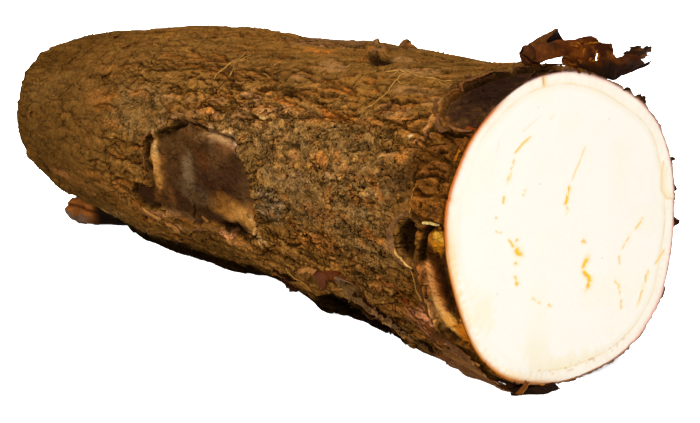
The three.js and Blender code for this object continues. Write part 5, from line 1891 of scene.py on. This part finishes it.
def build_far_flake(material):
    """A crumpled sheet of bark that stands on the floor under the far end, curled at its outer tip."""
    sheets = Sheets()
    bottom = (
        (-266.5, -12.0, 3.2), (-261.5, -13.0, 1.4), (-257.5, -12.0, 0.6), (-252.5, -9.7, 0.5),
        (-248, -3.5, 0.5), (-244, 2.7, 0.5),
    )
    top = (
        (-268.6, -10.8, 6.4), (-264.5, -9.8, 10.0), (-260, -8.6, 10.0), (-255, -8.2, 9.0), (-250, -7.4, 8.0),
        (-245, -3.0, 5.4),
    )
    for number, (back, tone) in enumerate(((0, (150, 86, 34)), (1.6, (70, 34, 12)))):
        rows, columns = 96, 40
        u = np.linspace(0, 1, rows)
        v = np.linspace(0, 1, columns)[None, :, None]
        low, high = (np.stack([curve_through(line, u) for line in zip(*edge)], -1)[:, None]
                     for edge in (bottom, top))
        points = mix(low, high, v)
        u, v = u[:, None], v[..., 0]
        rough = noise_sum(u, v, (0.35, 9, 3, 1000 + number), (0.16, 26, 8, 1003 + number))
        bulge = 1.6 * np.sin(math.pi * v) * fading(u, 0.4, 0.8)
        bulge = bulge - 1.2 * bell(v - 0.62, 0.14) * (u < 0.6)
        curl = 2.2 * fading(u, 0, 0.14) * v
        points = points + (bulge + rough)[..., None] * (-0.3, -0.95, 0) + curl[..., None] * (-0.3, 0.5, 0.25)
        points = points + back * np.array((0.4, 1.0, -0.2))
        torn = noise_sum(u, v, (1, 12, 4, 1006 + number), (0.5, 30, 9, 1008 + number))
        keep = within(u, v, torn, ((0.02, 0.02), (0.98, 0.02), (0.02, 0.04), (0.96, 0.06)))
        shade = 1 + 0.35 * lattice_noise(u * 8, v * 7, 1010 + number)[..., None]
        outer = linear(*tone) * shade
        band = fading(v + 0.1 * torn, 0.3, 0.42)[..., None]
        outer = mix(outer, linear(104, 76, 56) * shade, band * fading(u, 0.5, 0.7)[..., None])
        # Painted shade in the fold and along the top, under the root.
        fold_and_top_shade = (bell(v - 0.62, 0.07) + smoothstep(v, 0.86, 0.96)) * (u > 0.1)
        outer = mix(outer, linear(70, 30, 8) * shade, np.clip(fold_and_top_shade, 0, 1)[..., None] * 0.9)
        # Painted shadow on the part that runs in under the root.
        outer = mix(outer, linear(16, 8, 3), smoothstep(u - 0.1 * v, 0.5, 0.72)[..., None])
        places = at_cut(*np.moveaxis(points, -1, 0))
        sheets.add(places, 0.7, cells_of(keep), outer, linear(60, 30, 12) * shade)
    sheets.build("fallen_flake", "loose_bark", material, ("bark_flake_far",))


# ---------------------------------------------------------------- rootlets
ROOTLET_LIFT = 0.15


def tube(points, radii, sides=7):
    """A closed tube through points, with a radius at each."""
    points = np.asarray(points, float)
    radii = np.broadcast_to(radii, len(points))
    tangent = unit(np.gradient(points, axis=0))
    side = unit(np.cross(tangent, (0.13, 0.2, 1.0)))
    rise = np.cross(side, tangent)
    turn = np.arange(sides) * (2 * math.pi / sides)
    ring = np.cos(turn)[None, :, None] * side[:, None] + np.sin(turn)[None, :, None] * rise[:, None]
    return closed_rings(points[:, None] + ring * radii[:, None, None], points[0], points[-1])


def rootlet(places, thickness, bow, seed):
    """A fine rootlet that wanders over the bark through the given places."""
    length = sum(math.dist(a, b) for a, b in zip(unrolled(places), unrolled(places)[1:]))
    count = max(8, round(length / 0.6))
    share = np.linspace(0, 1, count)
    distance = curve_through([d for d, _ in places], share)
    angle = curve_through([a for _, a in places], share)
    distance = distance + 0.55 * lattice_noise(share * length / 2.2, 0 * share, 1100 + seed)
    angle = angle + 0.7 * lattice_noise(share * length / 1.9, 0 * share, 1120 + seed)
    base, outward, _, _ = frames_at(distance, np.radians(angle))
    height = bark.height_at(distance, angle)
    height = np.convolve(np.pad(height, 2, "edge"), np.ones(5) / 5, "valid")
    over = ROOTLET_LIFT + bow * np.sin(math.pi * share)
    over = over + 0.12 * lattice_noise(share * length / 1.7, 0 * share, 1140 + seed)
    lumpy = 1 + 0.25 * lattice_noise(share * length / 1.3, 0 * share, 1160 + seed)
    radii = 0.36 * thickness * (1 - 0.55 * share) * lumpy
    return tube(base + outward * (height + over)[:, None], radii)


def build_rootlets(name, routes, material, replaces=()):
    points, quads, caps, count = [], [], [], 0
    for number, (places, thickness, bow) in enumerate(routes):
        flat, sides, ends = rootlet(places, thickness, bow, number + len(name))
        points.append(flat)
        quads.append(sides + count)
        caps.append(ends + count)
        count += len(flat)
    points = np.concatenate(points)
    shade = 1 + 0.3 * lattice_noise(points[:, 0] / 2, points[:, 1] / 2, 1180)
    tones = np.concatenate([linear(178, 130, 62) * shade[:, None], np.ones((len(points), 1))], -1)
    add_piece(name, "rootlet", material, points, np.concatenate(quads), np.concatenate(caps), tones,
              replaces=replaces)


# Rootlets and their branches: places, thickness, how far the middle bows off the bark.
UPPER_ROOTLET = (
    ([(56, 116), (47, 114), (43, 115), (32, 117), (24, 115.5)], 0.5, 0.05),
    ([(44, 114.8), (41, 113.2), (36, 114.8)], 0.32, 0.05), ([(33, 116.8), (30.5, 113.6)], 0.26, 0.1),
    ([(50, 115), (51, 118), (49.5, 121)], 0.28, 0.05), ([(29, 116.4), (26, 118.4), (22.5, 118)], 0.28, 0.05),
)
LOWER_ROOTLET = (
    ([(47, 114.5), (45.6, 121), (44, 127.5), (46, 135)], 0.5, 0.05),
    ([(45.8, 119), (42.6, 121), (41, 120)], 0.28, 0.05), ([(46, 134), (48, 137), (47.4, 140)], 0.28, 0.05),
)
FINE_ROOTLETS = (
    ([(136.5, 137), (136, 128), (134, 121), (136, 116)], 0.5, 0.2),
    ([(131, 133), (132.5, 125), (131.5, 118)], 0.4, 0.2),
    ([(115.6, 129.3), (112.6, 130.4), (110.7, 131.1)], 0.5, 0.1),
    ([(113, 125), (112, 120), (114, 117)], 0.35, 0.1), ([(98, 220), (93, 225), (88, 233)], 0.6, 0.5),
    ([(13.4, 190), (14, 199), (12.6, 208)], 0.35, 0.2), ([(12.4, 160), (12.8, 166), (12.2, 171)], 0.4, 0.3),
    ([(158, 250), (150, 262), (146, 275)], 0.6, 0.6), ([(210, 40), (220, 28), (226, 14)], 0.7, 0.6),
    ([(70, 350), (82, 356), (90, 362)], 0.5, 0.4), ([(180, 60), (192, 64), (205, 62)], 0.5, 0.4),
    ([(244, 330), (252, 320), (263, 316)], 0.6, 0.6),
)


# ---------------------------------------------------------------- materials
class Look:
    """A procedural material, with short ways to add its nodes."""

    def __init__(self, name):
        self.material = bpy.data.materials.new(name)
        self.material.use_nodes = True
        self.nodes, self.links = self.material.node_tree.nodes, self.material.node_tree.links
        self.shader = self.nodes["Principled BSDF"]

    def feed(self, socket, value):
        """Links a socket to another one, or sets it to a number."""
        if isinstance(value, bpy.types.NodeSocket):
            self.links.new(value, socket)
        else:
            socket.default_value = value

    def add(self, kind, **inputs):
        """A new node of a kind, with its inputs given by name, with _ for a space."""
        node = self.nodes.new("ShaderNode" + kind)
        for name, value in inputs.items():
            self.feed(node.inputs[name.replace("_", " ")], value)
        return node

    def calculate(self, kind, operation, *values):
        node = self.add(kind)
        node.operation = operation
        for socket, value in zip(node.inputs, values):
            self.feed(socket, value)
        return node.outputs[0]

    def plus(self, first, second):
        return self.calculate("Math", "ADD", first, second)

    def times(self, first, second):
        return self.calculate("Math", "MULTIPLY", first, second)

    def remap(self, value, low, high, to_low, to_high):
        return self.add("MapRange", From_Min=low, From_Max=high, To_Min=to_low, To_Max=to_high,
                        Value=value).outputs["Result"]

    def tone_map(self):
        """The colours painted on the mesh's points, and how lively the grain is there."""
        attribute = self.nodes.new("ShaderNodeAttribute")
        attribute.attribute_name = "tone"
        return attribute.outputs["Color"], attribute.outputs["Alpha"]

    def place(self):
        return self.add("TexCoord").outputs["Object"]

    def noise(self, place, scale, detail=4.0, roughness=0.6):
        texture = self.add("TexNoise", Scale=scale, Detail=detail, Roughness=roughness, Vector=place)
        return texture.outputs["Fac"]

    def drawn_out(self, place, stretch):
        """The place, squeezed along the root so that textures come out drawn out along it."""
        return self.add("Mapping", Scale=(1 / stretch, 1, 1), Vector=place).outputs["Vector"]

    def bent(self, place, scale, amount):
        """Moves a place by a little noise, so that patterns laid on it come out uneven."""
        sway = self.add("TexNoise", Scale=scale, Vector=place).outputs["Color"]
        return self.calculate("VectorMath", "MULTIPLY_ADD", sway, (amount, amount, amount), place)

    def flake_cells(self, place, scale):
        """Cells like small flakes: a random number for each, and the distance to its edge."""
        chosen, edges = (self.add("TexVoronoi", Scale=scale, Vector=place) for _ in range(2))
        edges.feature = "DISTANCE_TO_EDGE"
        split = self.add("SeparateColor", Color=chosen.outputs["Color"])
        return split.outputs["Red"], edges.outputs["Distance"]

    def finish(self, tone, factor, height, bump, distance, grain, roughness, shine):
        """Base colour from tone times factor, a bump, and a roughness that follows the grain."""
        coloured = self.add("VectorMath")
        coloured.operation = "SCALE"
        self.feed(coloured.inputs[0], tone)
        self.feed(coloured.inputs["Scale"], factor)
        raised = self.add("Bump", Strength=bump, Distance=distance, Height=height)
        for socket, value in (
                ("Base Color", coloured.outputs["Vector"]), ("Normal", raised.outputs["Normal"]),
                ("Roughness", self.remap(grain, 0.3, 0.7, *roughness)), ("Specular IOR Level", shine)):
            self.feed(self.shader.inputs[socket], value)
        return self.material


# The flake cells of flaky bark, with painted shade along their edges: scale, how drawn out along the root,
# strength.
FLAKE_CELLS = ((420, 3.4, 1.0), (950, 2.4, 0.7))


def grained_material(name, stretch, coarse, fine, mottle, bump, roughness, shine, grit=0.0, flaky=0.0):
    """Colour from the mesh's tone map, broken up with grain and flakes drawn out along the root."""
    look = Look(name)
    tone, lively = look.tone_map()
    place = look.place()
    bent = look.bent(look.bent(place, 110, 0.006), 900, 0.0009)
    broad = look.noise(look.drawn_out(bent, stretch), coarse, 5, 0.65)
    small = look.noise(place, fine, 3, 0.6)
    spread = look.plus(look.times(broad, 0.6), look.times(small, 0.4))
    factor = look.remap(spread, 0.36, 0.64, -mottle, mottle)
    height = spread
    if grit:
        specks = look.noise(place, fine * 0.7, 3, 0.7)
        pits = look.remap(specks, 0.56, 0.64, 0, -0.75 * grit)
        crumbs = look.remap(specks, 0.36, 0.44, 1.15 * grit, 0)
        factor = look.plus(factor, look.plus(pits, crumbs))
    for scale, length, strength in FLAKE_CELLS if flaky else ():
        chosen, gap = look.flake_cells(look.drawn_out(bent, length), scale)
        open_here = look.remap(look.noise(place, 0.6 * scale, 2), 0.46, 0.6, 0, 1)
        # Painted shade along the flake edges, where the cells open.
        line = look.times(look.remap(gap, 0, 0.07, -0.8 * flaky * strength, 0), open_here)
        step = 0.25 * flaky * strength
        factor = look.plus(factor, look.plus(line, look.remap(chosen, 0, 1, -step, step)))
        height = look.plus(look.plus(height, look.times(chosen, 0.4 * strength)), look.times(line, 0.5))
    factor = look.plus(look.times(factor, look.remap(lively, 0, 2, 0.35, 1.75)), 1.0)
    factor = look.calculate("Math", "MAXIMUM", factor, 0.12)
    return look.finish(tone, factor, height, bump, 0.0009, broad, (roughness - 0.1, roughness + 0.1), shine)


def flesh_material():
    """Damp starchy flesh: the tone map with a little fine grain, slightly translucent."""
    look = Look("cut_flesh")
    tone, _ = look.tone_map()
    grain = look.noise(look.place(), 900, 4, 0.6)
    for socket, value in (("Weight", 0.06), ("Radius", (0.5, 0.42, 0.3)), ("Scale", 0.002)):
        look.feed(look.shader.inputs["Subsurface " + socket], value)
    factor = look.remap(grain, 0.3, 0.7, 0.985, 1.01)
    return look.finish(tone, factor, grain, 0.25, 0.0003, grain, (0.5, 0.62), 0.25)


bark_look = grained_material("root_bark", 2.4, 600, 1700, 0.5, 1.0, 0.85, 0.0, grit=0.34, flaky=0.9)
flake_look = grained_material("torn_bark", 1.8, 700, 2000, 0.4, 0.7, 0.8, 0.015, grit=0.25, flaky=0.5)
loose_look = grained_material("loose_bark", 1.0, 500, 1800, 0.45, 0.6, 0.75, 0.02, grit=0.15)
rootlet_look = grained_material("rootlet", 1.0, 900, 2600, 0.4, 0.3, 0.85, 0.01)

# ---------------------------------------------------------------- the whole root
build_bark(bark, bark_look)
build_flesh(bark, flesh_material())

for name, *makers in (
        ("torn_edges", patch_edges, hanging_flaps), ("cut_fringe", cut_fringe, skyline_bits, lower_strip),
        ("small_flakes", scattered_flakes)):
    sheets = Sheets()
    for make in makers:
        make(sheets)
    sheets.build(name, "bark", flake_look)
bare = (1 - bark.peeled) * (1 - 0.8 * bark.scar) * bark.dome[:, None]
bare = bare * (0.1 + 0.9 * smoothstep(bark.far, 20, 32))
soil = bark.granular * bare + 0.02 * bare
build_crumbs("soil_grains", SOIL_GRAINS, soil, (0.14, 0.42), flake_look)
clumps = smoothstep(layered_noise(bark.along, bark.across, 9.0, 1.4, 1200), -0.1, 0.4)
sparse = bare * (0.3 + bark.dark) * clumps
build_crumbs("bark_grains", BARK_GRAINS, sparse + 1e-6, (0.14, 0.4), flake_look)

for build in (build_scroll, build_roll, build_top_flake, build_bottom_curl, build_far_flake):
    build(loose_look)
build_rootlets("upper_rootlet", UPPER_ROOTLET, rootlet_look, ("rootlet_upper",))
build_rootlets("lower_rootlet", LOWER_ROOTLET, rootlet_look, ("rootlet_lower",))
build_rootlets("fine_rootlets", FINE_ROOTLETS, rootlet_look)


# ---------------------------------------------------------------- camera, floor and lights
CAMERA_AZIMUTH = 55
CAMERA_ELEVATION = 11
CAMERA_LENS = 82.3
CAMERA_SENSOR = 36
CAMERA_FROM_CUT = (290.3, -269.6, 121.0)
FLOOR_REACH, FLOOR_GLOW = 6, 0.5
SKY_ABOVE, SKY_BELOW = 0.5, 0.42
# The lights that reach everything, and those that only reach the floor: name, place, size, power.
LIGHTS = (("overhead", (-0.1, -0.45, 0.85), 0.2, 4.5), ("frontal", (0.75, -0.55, 0.3), 0.3, 5.3))
FLOOR_LIGHTS = (("floor_wash", (0, 0, 2.5), 2.5, 300), ("floor_fill", (0.7, -1.2, 0.7), 1.0, 120))
LIGHTS_AIM = (0, 0, 0.04)


def add_camera():
    data = bpy.data.cameras.new("camera")
    data.lens = CAMERA_LENS
    data.sensor_width = CAMERA_SENSOR
    data.clip_start = 0.02
    camera = bpy.data.objects.new("camera", data)
    bpy.context.scene.collection.objects.link(camera)
    turn, rise = math.radians(CAMERA_AZIMUTH), math.radians(CAMERA_ELEVATION)
    back = Vector((math.sin(turn) * math.cos(rise), -math.cos(turn) * math.cos(rise), math.sin(rise)))
    camera.location = Vector((CUT_X, CUT_CENTRE_Y, 0)) * MM + Vector(CAMERA_FROM_CUT) * MM
    camera.rotation_mode = "QUATERNION"
    camera.rotation_quaternion = (-back).to_track_quat("-Z", "Y")
    bpy.context.scene.camera = camera


def add_floor():
    mesh = bpy.data.meshes.new("floor")
    corners = [(FLOOR_REACH * x, FLOOR_REACH * y, 0) for x, y in ((-1, -1), (1, -1), (1, 1), (-1, 1))]
    mesh.from_pydata(corners, [], [(0, 1, 2, 3)])
    floor = bpy.data.objects.new("floor", mesh)
    bpy.context.scene.collection.objects.link(floor)
    look = Look("floor")
    for socket, value in (("Base Color", (0.95, 0.95, 0.95, 1)), ("Roughness", 1), ("Specular IOR Level", 0),
                          ("Emission Color", (1, 1, 1, 1)), ("Emission Strength", FLOOR_GLOW)):
        look.feed(look.shader.inputs[socket], value)
    mesh.materials.append(look.material)
    floor.visible_diffuse = False
    return floor


def add_light(name, place, size, power, only=None):
    data = bpy.data.lights.new(name, "AREA")
    data.shape = "DISK"
    data.size = size
    data.energy = power
    light = bpy.data.objects.new(name, data)
    light.location = place
    light.rotation_mode = "QUATERNION"
    light.rotation_quaternion = (Vector(LIGHTS_AIM) - Vector(place)).to_track_quat("-Z", "Y")
    bpy.context.scene.collection.objects.link(light)
    if only is not None:
        receivers = bpy.data.collections.new(name + "_receivers")
        receivers.objects.link(only)
        light.light_linking.receiver_collection = receivers


def add_world():
    """A plain white studio: brighter overhead than from below."""
    world = bpy.data.worlds.new("world")
    bpy.context.scene.world = world
    world.use_nodes = True
    nodes, links = world.node_tree.nodes, world.node_tree.links
    place, split = nodes.new("ShaderNodeTexCoord"), nodes.new("ShaderNodeSeparateXYZ")
    links.new(place.outputs["Generated"], split.inputs["Vector"])
    strength = nodes.new("ShaderNodeMapRange")
    for socket, value in (
            ("From Min", -0.2), ("From Max", 0.3), ("To Min", SKY_BELOW), ("To Max", SKY_ABOVE)):
        strength.inputs[socket].default_value = value
    links.new(split.outputs["Z"], strength.inputs["Value"])
    links.new(strength.outputs["Result"], nodes["Background"].inputs["Strength"])
    nodes["Background"].inputs["Color"].default_value = (1, 1, 1, 1)


add_camera()
floor = add_floor()
add_world()
for light in LIGHTS:
    add_light(*light)
for light in FLOOR_LIGHTS:
    add_light(*light, only=floor)
bpy.context.scene.view_settings.view_transform = "Standard"
